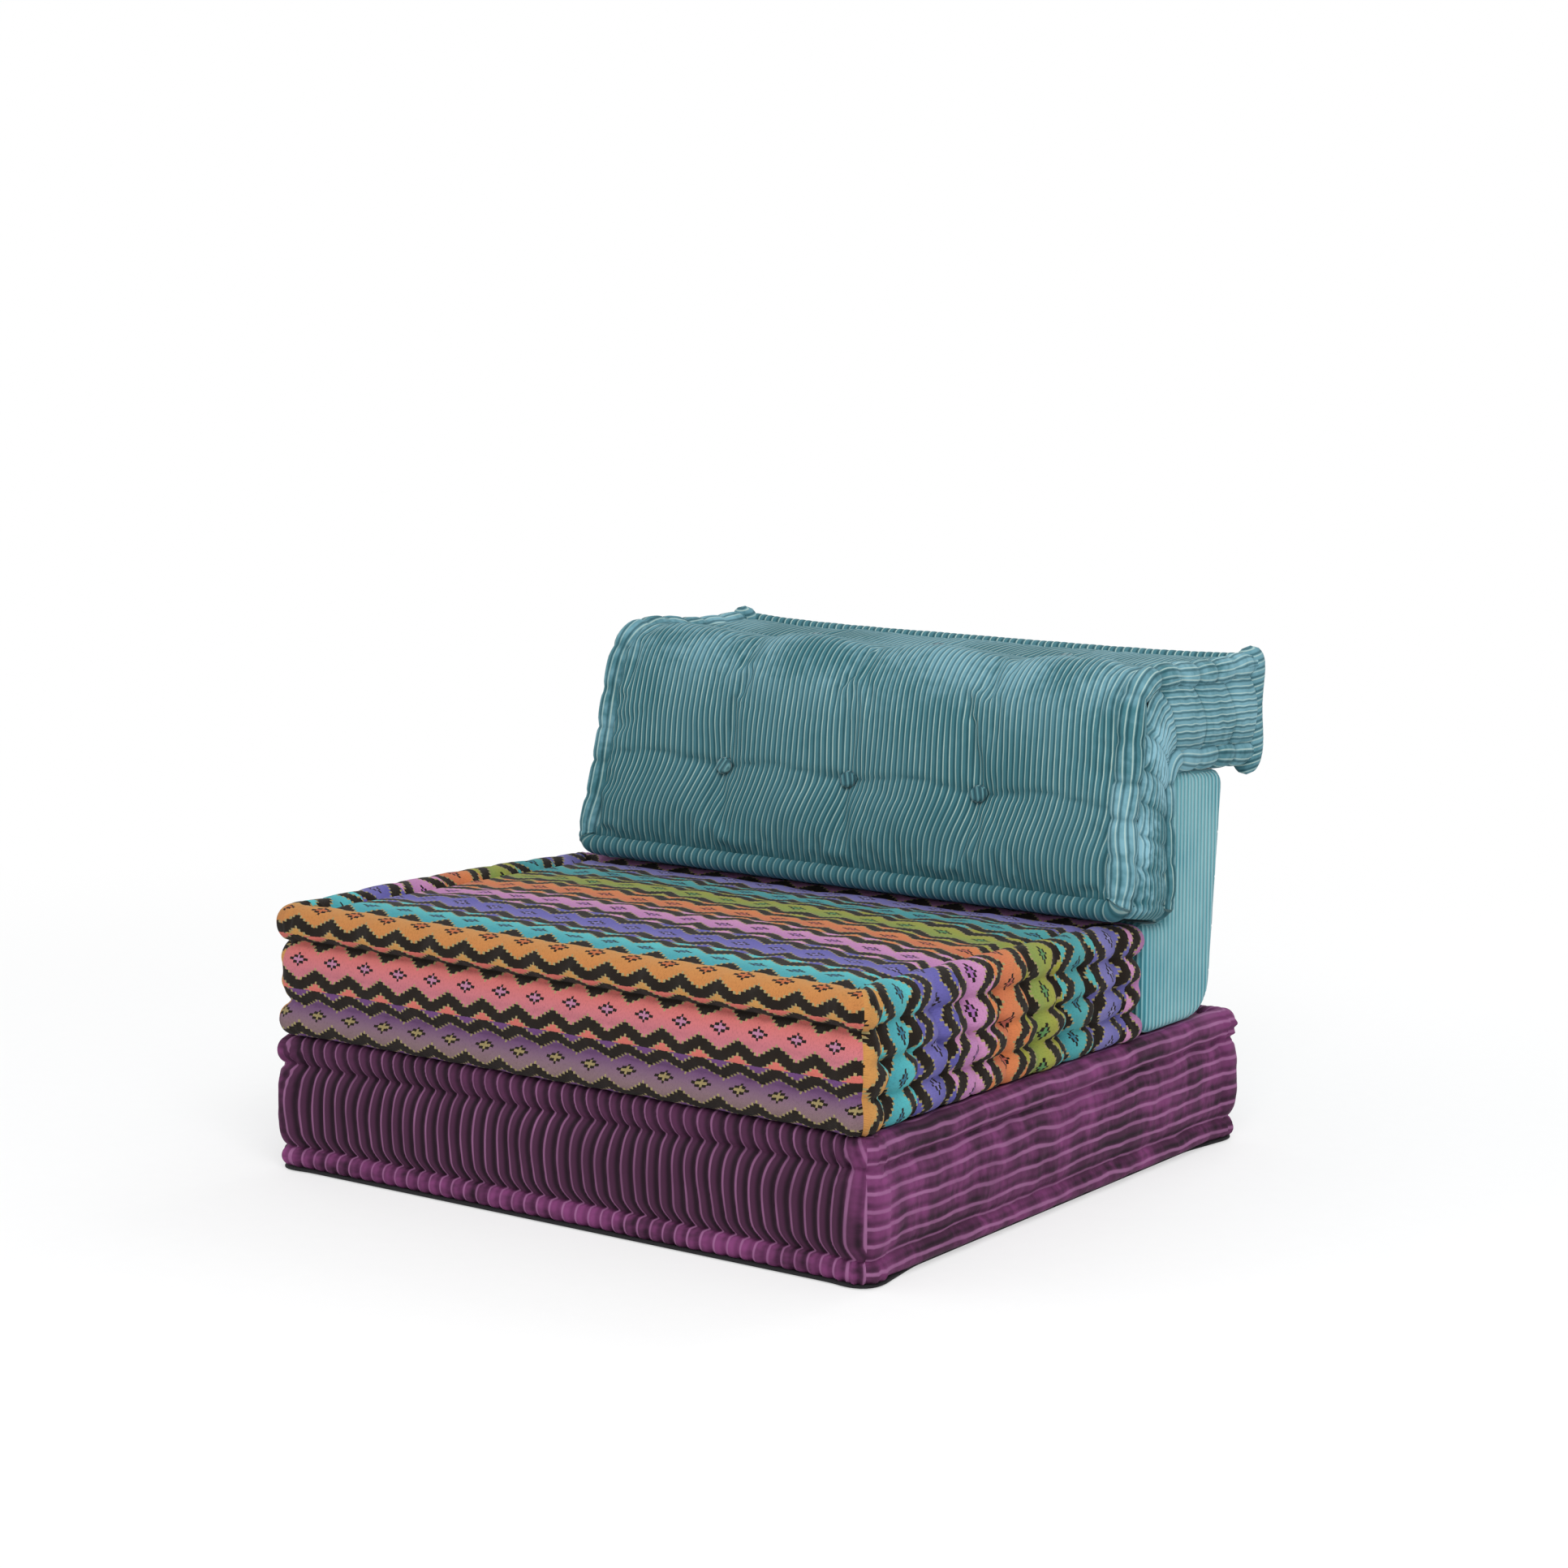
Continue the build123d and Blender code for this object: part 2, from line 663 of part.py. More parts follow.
def make_seat():
    """The loose seat mattress: foam, padding, roll fillers and cover."""
    pad = Mattress(
        seat_width, seat_depth, seat_height, seat_corner, seat_top_roll_radius, seat_low_roll_radius,
        seat_crown, drop=seat_rear_drop
    )
    lift = Pos(0, depth_at(seat_depth / 2), seat_floor)
    outer = pad.body(0, tuft_rows, side_tufts, side_tuft_puff, seat_belly)
    outer = outer + pad.top_roll_tube(0) + pad.low_roll_tube(0)
    inner = pad.body(fabric, tuft_rows, belly=seat_belly)
    inner = inner + pad.top_roll_tube(fabric) + pad.low_roll_tube(fabric)
    write("seat_cover", lift * (outer - inner))

    reach_x, reach_y = seat_width / 2 - 2 * seat_padding, seat_depth / 2 - 2 * seat_padding
    core = box((-reach_x, reach_x), (-reach_y, reach_y), (seat_padding, seat_height - seat_rear_drop - seat_padding))
    wadding = pad.body(fabric + seam_gap, tuft_rows, belly=seat_belly) - core
    wadding = wadding - pad.top_roll_tube(fabric) - pad.low_roll_tube(fabric)
    write("seat_wadding", lift * wadding)
    write("seat_foam", lift * core)
    write("seat_top_roll_filler", lift * pad.top_roll_tube(fabric + seam_gap))
    write("seat_low_roll_filler", lift * pad.low_roll_tube(fabric + seam_gap))


def block_points():
    """The block's corners from its side, from the foot of its front, going round to the rear."""
    outer, inner = back_lines()
    face = inner.moved_in(rest_gap)
    toe_y = depth_at(seat_depth + block_front_gap)
    wedge = radians(back_front_lean - back_inner_lean) / 2
    ledge_gap = rest_gap + back_roll_radius * (1 - cos(wedge) + sin(wedge))
    back = (at(0, inner.low) - at(0, outer.low)).normalized()
    ledge_start = along(inner.low, (back.Z, -back.Y), ledge_gap)
    toe_top = fork(ledge_start, (toe_y, 0), (back.Y, back.Z), (0, 1))
    step = fork(ledge_start, face.low, (back.Y, back.Z), face.climb)
    front_top = fork(face.low, face.rear, face.climb, face.run)
    rear_low = (toe_y + block_depth, block_floor + non_slip_thickness)
    rear_top = fork(face.rear, rear_low, face.run, rear_way())
    return [(toe_y, rear_low[1]), toe_top, step, front_top, rear_top, rear_low]


def rear_way():
    """The direction in which the block's rear face climbs, from its side."""
    return (sin(radians(block_rear_lean)), cos(radians(block_rear_lean)))


def block_solid(skin):
    """The block, skin millimetres inside its outer surface, with rounded ends."""
    points = block_points()
    face = Face(Wire.make_polygon([at(0, point) for point in points], close=True))
    radii = [block_toe_radius, block_ledge_radius, 0, block_top_front_radius, block_top_rear_radius]
    radii.append(block_foot_radius)
    for point, radius in zip(points, radii):
        if radius:
            corner = face.vertices().sort_by_distance(at(0, point))[0]
            face = face.fillet_2d(radius, [corner])
    if skin:
        face = offset(face, amount=-skin).faces()[0]
    reach = block_width / 2 - skin
    solid = extrude(face, amount=reach, dir=(1, 0, 0), both=True)
    ends = solid.edges().filter_by(lambda edge: abs(abs(edge.center().X) - reach) < seam_gap)
    return fillet(ends, block_end_radius - skin)


def plate(size_x, size_y, low, high):
    """A box centred on a plane's own axes, between two levels above it."""
    return Pos(0, 0, (low + high) / 2) * Box(size_x, size_y, high - low)


def make_block():
    """The upright block: foam in a plain zipped cover, on a non-slip sheet."""
    core = block_solid(fabric)
    foot = block_points()[-1]
    zip_place = along(foot, rear_way(), zip_rise)
    rear = Plane(at(0, zip_place), x_dir=(-1, 0, 0), z_dir=(0, rear_way()[1], -rear_way()[0]))
    tape_room = rear * plate(zip_length, zip_tape_width, -zip_tape_thickness, overrun)
    write("block_cover", block_solid(0) - core - tape_room)
    write("block_foam", core)
    write("block_zip_tape", rear * plate(zip_length, zip_tape_width, -zip_tape_thickness, 0))

    chain_length = zip_length - 4 * zip_stop_length
    write("block_zip_chain", rear * plate(chain_length, zip_chain_width, 0, zip_chain_thickness))
    stop = plate(zip_stop_length, zip_chain_width, 0, zip_chain_thickness + zip_clearance)
    stop_x = (chain_length + zip_stop_length) / 2
    write("block_zip_stops", Compound([rear * Pos(side * stop_x, 0, 0) * stop for side in (-1, 1)]))
    slider = plate(zip_slider_length, zip_slider_width, zip_clearance, zip_slider_thickness)
    channel = zip_chain_width + 2 * zip_clearance
    slider = slider - plate(2 * zip_slider_length, channel, -overrun, zip_chain_thickness + zip_clearance)
    slider_x = (chain_length - zip_slider_length) / 2 - zip_clearance
    write("block_zip_slider", rear * Pos(slider_x, 0, 0) * slider)
    print("zip slider travel", 2 * slider_x)

    front, back = block_points()[0][0] + block_toe_radius, foot[0] - block_foot_radius
    reach = block_width / 2 - 2 * block_end_radius
    sheet = box((-reach, reach), (front, back), (block_floor, block_floor + non_slip_thickness))
    write("block_non_slip_sheet", sheet)


def make_back():
    """The folded backrest mattress with its buttons, twines and washers."""
    place = Pos(back_shift, 0, 0)
    outer_line, inner_line = back_lines()
    shape = FoldedMattress()
    rows, twines, washers, cutters = [], [], [], []
    for planes, depth in shape.button_rows():
        buttons = []
        washer_low = washer_cover - depth
        washer_high = washer_low + washer_thickness
        for plane in planes:
            cap = disc(plane, button_radius, button_lift, button_lift + button_thickness)
            rim = cap.edges().sort_by(Axis(plane.origin, plane.z_dir))[-1]
            cap = cap.fillet(button_thickness * button_dome_share, [rim])
            buttons.append(cap + disc(plane, shank_radius, -fabric, button_lift + button_thickness / 2))
            twines.append(disc(plane, twine_radius, washer_high, -fabric))
            washers.append(disc(plane, washer_radius, washer_low, washer_high))
            cutters.append(disc(plane, button_radius + seam_gap, button_lift - seam_gap, 2 * button_depth))
            cutters.append(disc(plane, shank_radius + seam_gap, -fabric, button_lift))
            cutters.append(disc(plane, twine_radius + seam_gap, washer_high, -fabric))
            cutters.append(disc(plane, washer_radius + seam_gap, washer_low - seam_gap, washer_high + seam_gap))
        rows.append(buttons)
    write("back_front_buttons", place * Compound(rows[0]))
    write("back_top_buttons", place * Compound(rows[1]))
    write("back_tuft_twines", place * Compound(twines))
    write("back_tuft_washers", place * Compound(washers))

    def rolls(skin):
        radius = back_roll_radius - skin
        return back_roll(outer_line, 1, radius), back_roll(inner_line, -1, radius)

    front, rear = rolls(0)
    front_room, rear_room = rolls(fabric)
    front_fill, rear_fill = rolls(fabric + seam_gap)
    outer = shape.body() + front + rear
    inner = FoldedMattress(fabric).body() + front_room + rear_room
    write("back_cover", place * cut_near(outer - inner, cutters))
    core = shape.core()
    wadding = FoldedMattress(fabric + seam_gap).body() - core - front_room - rear_room
    write("back_wadding", place * cut_near(wadding, cutters))
    write("back_foam", place * cut_near(core, cutters))
    write("back_front_roll_filler", place * front_fill)
    write("back_rear_roll_filler", place * rear_fill)


os.makedirs("parts", exist_ok=True)
make_base()
make_seat()
make_block()
make_back()
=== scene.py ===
"""Dresses a low armless sofa section: ribbed base, woven seat mattress, wedge block and folded back."""

from __future__ import annotations

import logging
from collections.abc import Callable
from dataclasses import dataclass, field
from enum import Enum
from math import cos, pi, radians, sin, tan

import bpy
import numpy as np
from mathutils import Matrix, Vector
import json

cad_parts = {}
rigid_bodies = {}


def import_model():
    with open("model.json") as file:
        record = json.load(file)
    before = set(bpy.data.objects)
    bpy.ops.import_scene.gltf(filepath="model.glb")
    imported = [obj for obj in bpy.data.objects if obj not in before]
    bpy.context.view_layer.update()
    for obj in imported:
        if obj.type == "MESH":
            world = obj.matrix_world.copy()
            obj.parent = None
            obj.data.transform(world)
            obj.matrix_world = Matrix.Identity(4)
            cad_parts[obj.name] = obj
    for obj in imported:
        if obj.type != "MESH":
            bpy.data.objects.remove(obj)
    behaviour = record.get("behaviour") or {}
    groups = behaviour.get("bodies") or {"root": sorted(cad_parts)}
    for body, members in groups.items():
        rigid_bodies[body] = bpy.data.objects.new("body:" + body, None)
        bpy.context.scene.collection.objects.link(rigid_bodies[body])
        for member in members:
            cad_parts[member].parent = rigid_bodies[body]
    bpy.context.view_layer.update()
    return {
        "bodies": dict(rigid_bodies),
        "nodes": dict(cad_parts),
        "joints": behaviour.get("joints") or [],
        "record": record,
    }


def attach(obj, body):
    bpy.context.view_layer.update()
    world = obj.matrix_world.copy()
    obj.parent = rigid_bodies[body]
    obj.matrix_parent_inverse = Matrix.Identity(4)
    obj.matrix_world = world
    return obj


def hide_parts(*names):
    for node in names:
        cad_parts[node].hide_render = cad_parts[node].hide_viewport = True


log = logging.getLogger("sofa_section")

Array = np.ndarray
FULL_TURN = 2 * pi
SAME_POINT = 0.00001
HANDS = {1: "right", -1: "left"}


def smooth(value: Array, low: float, high: float) -> Array:
    """Rises softly from 0 at low to 1 at high."""
    share = np.clip((value - low) / (high - low), 0, 1)
    return share * share * (3 - 2 * share)


def hump(value: Array, centre: float, width: float) -> Array:
    """A soft bell of height 1 round a centre."""
    return np.exp(-(((value - centre) / width) ** 2))


def wander(u: Array, v: Array, scale: float, seed: int) -> Array:
    """Smooth unevenness of a cloth.

    Args:
        u: Place across the cloth, in metres.
        v: Place along the cloth, in metres.
        scale: The usual size of a swelling, in metres.
        seed: Which unevenness.

    Returns:
        Values between about -1 and 1.
    """
    dice = np.random.default_rng(seed)
    total = np.zeros(np.broadcast(u, v).shape)
    for _ in range(7):
        angle, turn = dice.uniform(0, 2 * pi, 2)
        pitch = scale * dice.uniform(0.6, 1.7)
        total += np.sin((u * cos(angle) + v * sin(angle)) * 2 * pi / pitch + turn)
    return total / 3.5


def ribs(phase: Array) -> Array:
    """The round back of each rib, 1 on its crest and 0 in the groove between two."""
    return np.abs(np.sin(pi * phase)) ** 0.65


def steps(start: float, end: float, pitch: float) -> Array:
    """Evenly spaced places from start to end, about pitch apart."""
    return np.linspace(start, end, max(int(round(abs(end - start) / pitch)), 1) + 1)


def tone(code: str) -> tuple[float, float, float, float]:
    """A colour written as six hexadecimal digits, as linear light."""
    parts = [int(code[place:place + 2], 16) / 255 for place in (0, 2, 4)]
    linear = [part / 12.92 if part <= 0.04045 else ((part + 0.055) / 1.055) ** 2.4 for part in parts]
    return (*linear, 1.0)


def woven(across: Array, along: Array) -> Array:
    """Places in a weave from the numbers across and along it."""
    return np.stack(np.broadcast_arrays(across, along), axis=-1)


def placed(x: Array, side_view: Array) -> Array:
    """Points from places across and their places as seen from the side."""
    across = np.broadcast_to(x[..., None], (*side_view.shape[:-1], 1))
    return np.concatenate([across, side_view], axis=-1)


def vectors(parts: bpy.types.bpy_prop_collection, kind: str) -> Array:
    """One kind of vector of each part of a mesh, a row each."""
    flat = np.empty(len(parts) * 3)
    parts.foreach_get(kind, flat)
    return flat.reshape(-1, 3)


def cross_unit(first: Array, second: Array) -> Array:
    """The unit vector square to two fields of vectors."""
    square = np.cross(first, second)
    return square / np.maximum(np.linalg.norm(square, axis=-1, keepdims=True), 1e-9)


def cubic_weights(places: Array, count: int) -> Array:
    """How much each of count even samples adds at places between 0 and 1, on smooth curves through them.

    Args:
        places: Shares of the way from the first sample to the last.
        count: How many samples there are.

    Returns:
        A row of weights for each place.
    """
    at = np.clip(places, 0, 1) * (count - 1)
    first = np.clip(np.floor(at).astype(int), 0, count - 2)
    share = at - first
    table = np.zeros((len(places), count))
    curves = (
        (-1, ((2 - share) * share - 1) * share / 2), (0, ((3 * share - 5) * share * share + 2) / 2),
        (1, ((4 - 3 * share) * share + 1) * share / 2), (2, (share - 1) * share * share / 2),
    )
    for step, part in curves:
        np.add.at(table, (np.arange(len(places)), np.clip(first + step, 0, count - 1)), part)
    return table


def resampled(field_of: Array, rows: Array, columns: Array) -> Array:
    """A coarse field of vectors at finer places, each given as a share of its side."""
    down, over = cubic_weights(rows, field_of.shape[0]), cubic_weights(columns, field_of.shape[1])
    return np.einsum("ij,jkc,lk->ilc", down, field_of, over)


@dataclass
class Filling:
    """Air pressure that swells sewn cloth, as stuffing does, with Blender's Cloth."""

    name: str
    core: Vector
    pressure: float = 4.0
    reach: float = 0.012
    slack: float = 0.02
    frames: int = 20
    panels: list[Array] = field(default_factory=list)
    held: list[Array] = field(default_factory=list)

    def add(self, spots: Array, held: Array) -> int:
        """Adds a coarse panel.

        Args:
            spots: Its points.
            held: Where it is sewn down: 1, or 0 where it is free.

        Returns:
            The panel's number.
        """
        self.panels.append(spots)
        self.held.append(np.broadcast_to(held, spots.shape[:2]))
        return len(self.panels) - 1

    def quads(self, panel: Array, first: int) -> Array:
        """The corner numbers of a panel's faces, facing away from the core.

        Args:
            panel: The panel's points.
            first: The number of its first point.

        Returns:
            Four numbers for each face.
        """
        index = np.arange(panel.shape[0] * panel.shape[1]).reshape(panel.shape[:2]) + first
        found = np.stack([index[:-1, :-1], index[:-1, 1:], index[1:, 1:], index[1:, :-1]], -1).reshape(-1, 4)
        normal = np.cross(np.gradient(panel, axis=1), np.gradient(panel, axis=0))
        return found if ((panel - np.array(self.core)) * normal).sum() > 0 else found[:, ::-1]

    def settle(self) -> list[Array]:
        """Swells the panels.

        Returns: How far each point of each panel moved.
        """
        points, faces = [], []
        for panel in self.panels:
            faces.append(self.quads(panel, sum(len(part) for part in points)))
            points.append(panel.reshape(-1, 3))
        start = np.concatenate(points)
        mesh = bpy.data.meshes.new(self.name)
        mesh.from_pydata(start.tolist(), [], np.concatenate(faces).tolist())
        bag = bpy.data.objects.new(self.name, mesh)
        bpy.context.scene.collection.objects.link(bag)
        sewn_down = bag.vertex_groups.new(name="held")
        for number in np.flatnonzero(np.concatenate([part.ravel() for part in self.held]) > 0.5):
            sewn_down.add([int(number)], 1.0, "REPLACE")
        swell = bag.modifiers.new("swell", "CLOTH")
        swell.settings.quality = 6
        swell.settings.use_pressure = True
        swell.settings.uniform_pressure_force = self.pressure
        swell.settings.shrink_min = -self.slack
        swell.settings.bending_stiffness = 0.8
        swell.settings.effector_weights.gravity = 0
        swell.settings.vertex_group_mass = "held"
        swell.point_cache.frame_end = self.frames
        for frame in range(1, self.frames + 1):
            bpy.context.scene.frame_set(frame)
        settled = bag.evaluated_get(bpy.context.evaluated_depsgraph_get()).data
        moved = vectors(settled.vertices, "co") - start
        bpy.data.objects.remove(bag)
        bpy.data.meshes.remove(mesh)
        bpy.context.scene.frame_set(1)
        far = np.maximum(np.linalg.norm(moved, axis=1, keepdims=True), 1e-9)
        log.info("%s: swelled by up to %.1f mm", self.name, float(far.max()) * 1000)
        moved = moved * (self.reach * np.tanh(far / self.reach) / far)
        ends = np.cumsum([len(part) for part in points])[:-1]
        return [part.reshape(panel.shape) for part, panel in zip(np.split(moved, ends), self.panels)]


@dataclass
class Cloth:
    """A piece of cloth as a grid of points, with the place of each in the weave.

    The weave's first number runs across the ribs or along a row of motifs.
    """

    name: str
    spots: Array
    weave: Array
    # Share of the lighter pile colour: crushed pile, partly painted light on lit sides and tops.
    crush_and_light: Array | float = 0.0
    # Share of painted shade: creases, seams, stitches and lower parts.
    painted_shade: Array | float = 0.0

    def outward(self, core: Vector) -> Array:
        """Normals that point away from a core point, summed over the cloth."""
        normal = cross_unit(np.gradient(self.spots, axis=1), np.gradient(self.spots, axis=0))
        facing = ((self.spots - np.array(core)) * normal).sum()
        return normal if facing > 0 else -normal

    def raised(self, height: Array, core: Vector) -> "Cloth":
        """The cloth with each point moved out by a height.

        Args:
            height: Metres outward at each point.
            core: A point on the inner side.

        Returns:
            The same cloth, changed in place.
        """
        self.spots = self.spots + self.outward(core) * height[..., None]
        return self

    def make(self, core: Vector) -> bpy.types.Object:
        """Lays the grid as a mesh that faces away from its core, and carries its weave, its share of lighter
        crushed pile with painted light, and its share of painted shade.

        Args:
            core: A point on the inner side.

        Returns:
            The new object, at the origin.
        """
        rows, columns = self.spots.shape[:2]
        bpy.ops.object.select_all(action="DESELECT")
        bpy.ops.mesh.primitive_grid_add(x_subdivisions=columns - 1, y_subdivisions=rows - 1, size=2)
        piece = bpy.context.object
        piece.name = piece.data.name = self.name
        mesh = piece.data
        flat = vectors(mesh.vertices, "co")
        row = np.rint((flat[:, 1] + 1) / 2 * (rows - 1)).astype(int)
        column = np.rint((flat[:, 0] + 1) / 2 * (columns - 1)).astype(int)
        mesh.vertices.foreach_set("co", self.spots[row, column].ravel())
        corners = np.empty(len(mesh.loops), int)
        mesh.loops.foreach_get("vertex_index", corners)
        if not mesh.uv_layers:
            mesh.uv_layers.new()
        mesh.uv_layers[0].name = "weave"
        mesh.uv_layers[0].data.foreach_set("uv", self.weave[row, column][corners].ravel())
        for kind, value in (("crush_and_light", self.crush_and_light), ("painted_shade", self.painted_shade)):
            spread = np.broadcast_to(value, (rows, columns))[row, column]
            mesh.attributes.new(kind, "FLOAT", "POINT").data.foreach_set("value", spread)
        mesh.update()
        from_core = vectors(mesh.polygons, "center") - np.array(core)
        if (from_core * vectors(mesh.polygons, "normal")).sum() < 0:
            mesh.flip_normals()
        mesh.shade_smooth()
        return piece


def sewn(name: str, parts: list[bpy.types.Object], reach: float = 0.0002) -> bpy.types.Object:
    """Joins pieces of cloth into one and closes the seams where they meet.

    Args:
        name: The name of the whole.
        parts: The pieces to join.
        reach: How near two points are that become one, in metres.

    Returns:
        The joined object.
    """
    bpy.ops.object.select_all(action="DESELECT")
    for part in parts:
        part.select_set(True)
    bpy.context.view_layer.objects.active = parts[0]
    if len(parts) > 1:
        bpy.ops.object.join()
    whole = bpy.context.object
    whole.name = whole.data.name = name
    bpy.ops.object.mode_set(mode="EDIT")
    bpy.ops.mesh.select_all(action="SELECT")
    bpy.ops.mesh.remove_doubles(threshold=reach)
    bpy.ops.object.mode_set(mode="OBJECT")
    return whole


class Signal:
    """A number that varies over a surface, with the sums that a finish needs."""

    def __init__(self, desk: "Desk", socket: bpy.types.NodeSocket) -> None:
        """Wraps a socket."""
        self.desk, self.socket = desk, socket

    def __add__(self, other: "Signal | float") -> "Signal":
        """The sum."""
        return self.desk.math("ADD", self, other)

    def __sub__(self, other: "Signal | float") -> "Signal":
        """The difference."""
        return self.desk.math("SUBTRACT", self, other)

    def __mul__(self, other: "Signal | float") -> "Signal":
        """The product."""
        return self.desk.math("MULTIPLY", self, other)

    def flip(self) -> "Signal":
        """One less the value."""
        return self.desk.math("SUBTRACT", 1.0, self)

    def fract(self) -> "Signal":
        """The part after the point."""
        return self.desk.math("FRACT", self)

    def floor(self) -> "Signal":
        """The whole number below."""
        return self.desk.math("FLOOR", self)

    def size(self) -> "Signal":
        """The value without its sign."""
        return self.desk.math("ABSOLUTE", self)

    def wave(self) -> "Signal":
        """The sine."""
        return self.desk.math("SINE", self)

    def over(self, limit: "Signal | float") -> "Signal":
        """1 where the value is above a limit."""
        return self.desk.math("GREATER_THAN", self, limit)

    def rise(self, low: float, high: float) -> "Signal":
        """Rises softly from 0 to 1.

        Args:
            low: Where the rise starts.
            high: Where it ends.

        Returns:
            The share risen.
        """
        node = self.desk.node("ShaderNodeMapRange", interpolation_type="SMOOTHSTEP")
        self.desk.feed(node.inputs["Value"], self)
        node.inputs["From Min"].default_value = low
        node.inputs["From Max"].default_value = high
        return Signal(self.desk, node.outputs["Result"])

    def swing(self) -> "Signal":
        """0 where a share is a half, rising to 1 at both its ends."""
        return ((self * 2.0) - 1.0).size()

    def stepped(self, count: float) -> "Signal":
        """The value in whole steps, count of them to the unit."""
        return ((self * count) + 0.5).floor() * (1 / count)


class Desk:
    """The table on which one finish, or the light of the room, is wired."""

    # The sockets of a Mix node that carry colours.
    MIX_COLOURS = (6, 7)
    MIX_RESULT = 2

    def __init__(self, owner: bpy.types.Material | bpy.types.World) -> None:
        """Clears the wiring of a material or a world."""
        self.owner = owner
        owner.use_nodes = True
        self.tree = owner.node_tree
        self.tree.nodes.clear()

    def node(self, kind: str, **settings: object) -> bpy.types.Node:
        """A new node with its settings."""
        made = self.tree.nodes.new(kind)
        for key, value in settings.items():
            setattr(made, key, value)
        return made

    def feed(self, socket: bpy.types.NodeSocket, value: object) -> None:
        """Gives a socket a signal, or its own value."""
        if isinstance(value, Signal):
            self.tree.links.new(value.socket, socket)
        else:
            socket.default_value = value

    def math(self, kind: str, first: object, second: object = None) -> Signal:
        """One sum of a signal with a signal or number.

        Args:
            kind: The Math node's operation.
            first: A signal or number.
            second: Another, where the operation takes two.

        Returns:
            The result.
        """
        made = self.node("ShaderNodeMath", operation=kind)
        self.feed(made.inputs[0], first)
        if second is not None:
            self.feed(made.inputs[1], second)
        return Signal(self, made.outputs[0])

    def mix(self, share: object, first: object, second: object) -> Signal:
        """One colour turning into another.

        Args:
            share: How much of the second shows.
            first: A colour.
            second: The other colour.

        Returns:
            The mixed colour.
        """
        made = self.node("ShaderNodeMix", data_type="RGBA")
        self.feed(made.inputs[0], share)
        for place, colour in zip(self.MIX_COLOURS, (first, second)):
            self.feed(made.inputs[place], colour)
        return Signal(self, made.outputs[self.MIX_RESULT])

    def close(self, kind: str, share: Signal, first: bpy.types.NodeSocket,
              second: bpy.types.NodeSocket) -> None:
        """Ends the wiring with one shader turning into another.

        Args:
            kind: The output node's kind.
            share: How much of the second shader shows.
            first: The first shader.
            second: The second shader.
        """
        mixed, output = self.node("ShaderNodeMixShader"), self.node(kind)
        self.feed(mixed.inputs[0], share)
        self.tree.links.new(first, mixed.inputs[1])
        self.tree.links.new(second, mixed.inputs[2])
        self.tree.links.new(mixed.outputs[0], output.inputs[0])

    def weave(self) -> tuple[Signal, Signal]:
        """The place in the weave: across and along."""
        made = self.node("ShaderNodeUVMap", uv_map="weave")
        parts = self.node("ShaderNodeSeparateXYZ")
        self.tree.links.new(made.outputs["UV"], parts.inputs[0])
        return Signal(self, parts.outputs[0]), Signal(self, parts.outputs[1])

    def attribute(self, name: str) -> Signal:
        """A value that the mesh carries."""
        return Signal(self, self.node("ShaderNodeAttribute", attribute_name=name).outputs["Fac"])

    def place(self) -> Signal:
        """The place in the object's own space."""
        return Signal(self, self.node("ShaderNodeTexCoord").outputs["Object"])

    def axes(self, vector: Signal) -> list[Signal]:
        """The three parts of a vector."""
        parts = self.node("ShaderNodeSeparateXYZ")
        self.feed(parts.inputs[0], vector)
        return [Signal(self, socket) for socket in parts.outputs]

    def vector(self, x: object, y: object, z: object = 0.0) -> Signal:
        """A vector of three signals or numbers."""
        made = self.node("ShaderNodeCombineXYZ")
        for socket, value in zip(made.inputs, (x, y, z)):
            self.feed(socket, value)
        return Signal(self, made.outputs[0])

    def noise(self, vector: Signal, scale: float, detail: float = 2.0) -> Signal:
        """Cloudy noise between 0 and 1.

        Args:
            vector: Where the noise is read.
            scale: How many clouds fit in a unit.
            detail: How many finer layers it has.

        Returns:
            The noise.
        """
        made = self.node("ShaderNodeTexNoise")
        self.feed(made.inputs["Vector"], vector)
        made.inputs["Scale"].default_value = scale
        made.inputs["Detail"].default_value = detail
        return Signal(self, made.outputs[0])

    def streaks(self, across: Signal, along: Signal, detail: float = 2.0) -> Signal:
        """Noise that is stretched by the pace of two signals."""
        return self.noise(self.vector(across, along), 1.0, detail)

    def ramp(self, share: Signal, stops: list[tuple[float, str]]) -> Signal:
        """A row of sharply divided colours along a signal.

        Args:
            share: A signal between 0 and 1.
            stops: Where each colour starts, and its code.

        Returns:
            The colour.
        """
        made = self.node("ShaderNodeValToRGB")
        made.color_ramp.interpolation = "CONSTANT"
        while len(made.color_ramp.elements) < len(stops):
            made.color_ramp.elements.new(0.5)
        for element, (position, code) in zip(made.color_ramp.elements, stops):
            element.position, element.color = position, tone(code)
        self.feed(made.inputs[0], share)
        return Signal(self, made.outputs[0])

    def surface(self, colour: object, roughness: float, **constants: object) -> bpy.types.Node:
        """A plain surface.

        Args:
            colour: Its colour.
            roughness: Its roughness.
            **constants: Other values of the shader, by their socket names with _ for spaces.

        Returns:
            The shader.
        """
        shader = self.node("ShaderNodeBsdfPrincipled")
        self.feed(shader.inputs["Base Color"], colour)
        self.feed(shader.inputs["Roughness"], roughness)
        for key, value in constants.items():
            shader.inputs[key.replace("_", " ")].default_value = value
        return shader

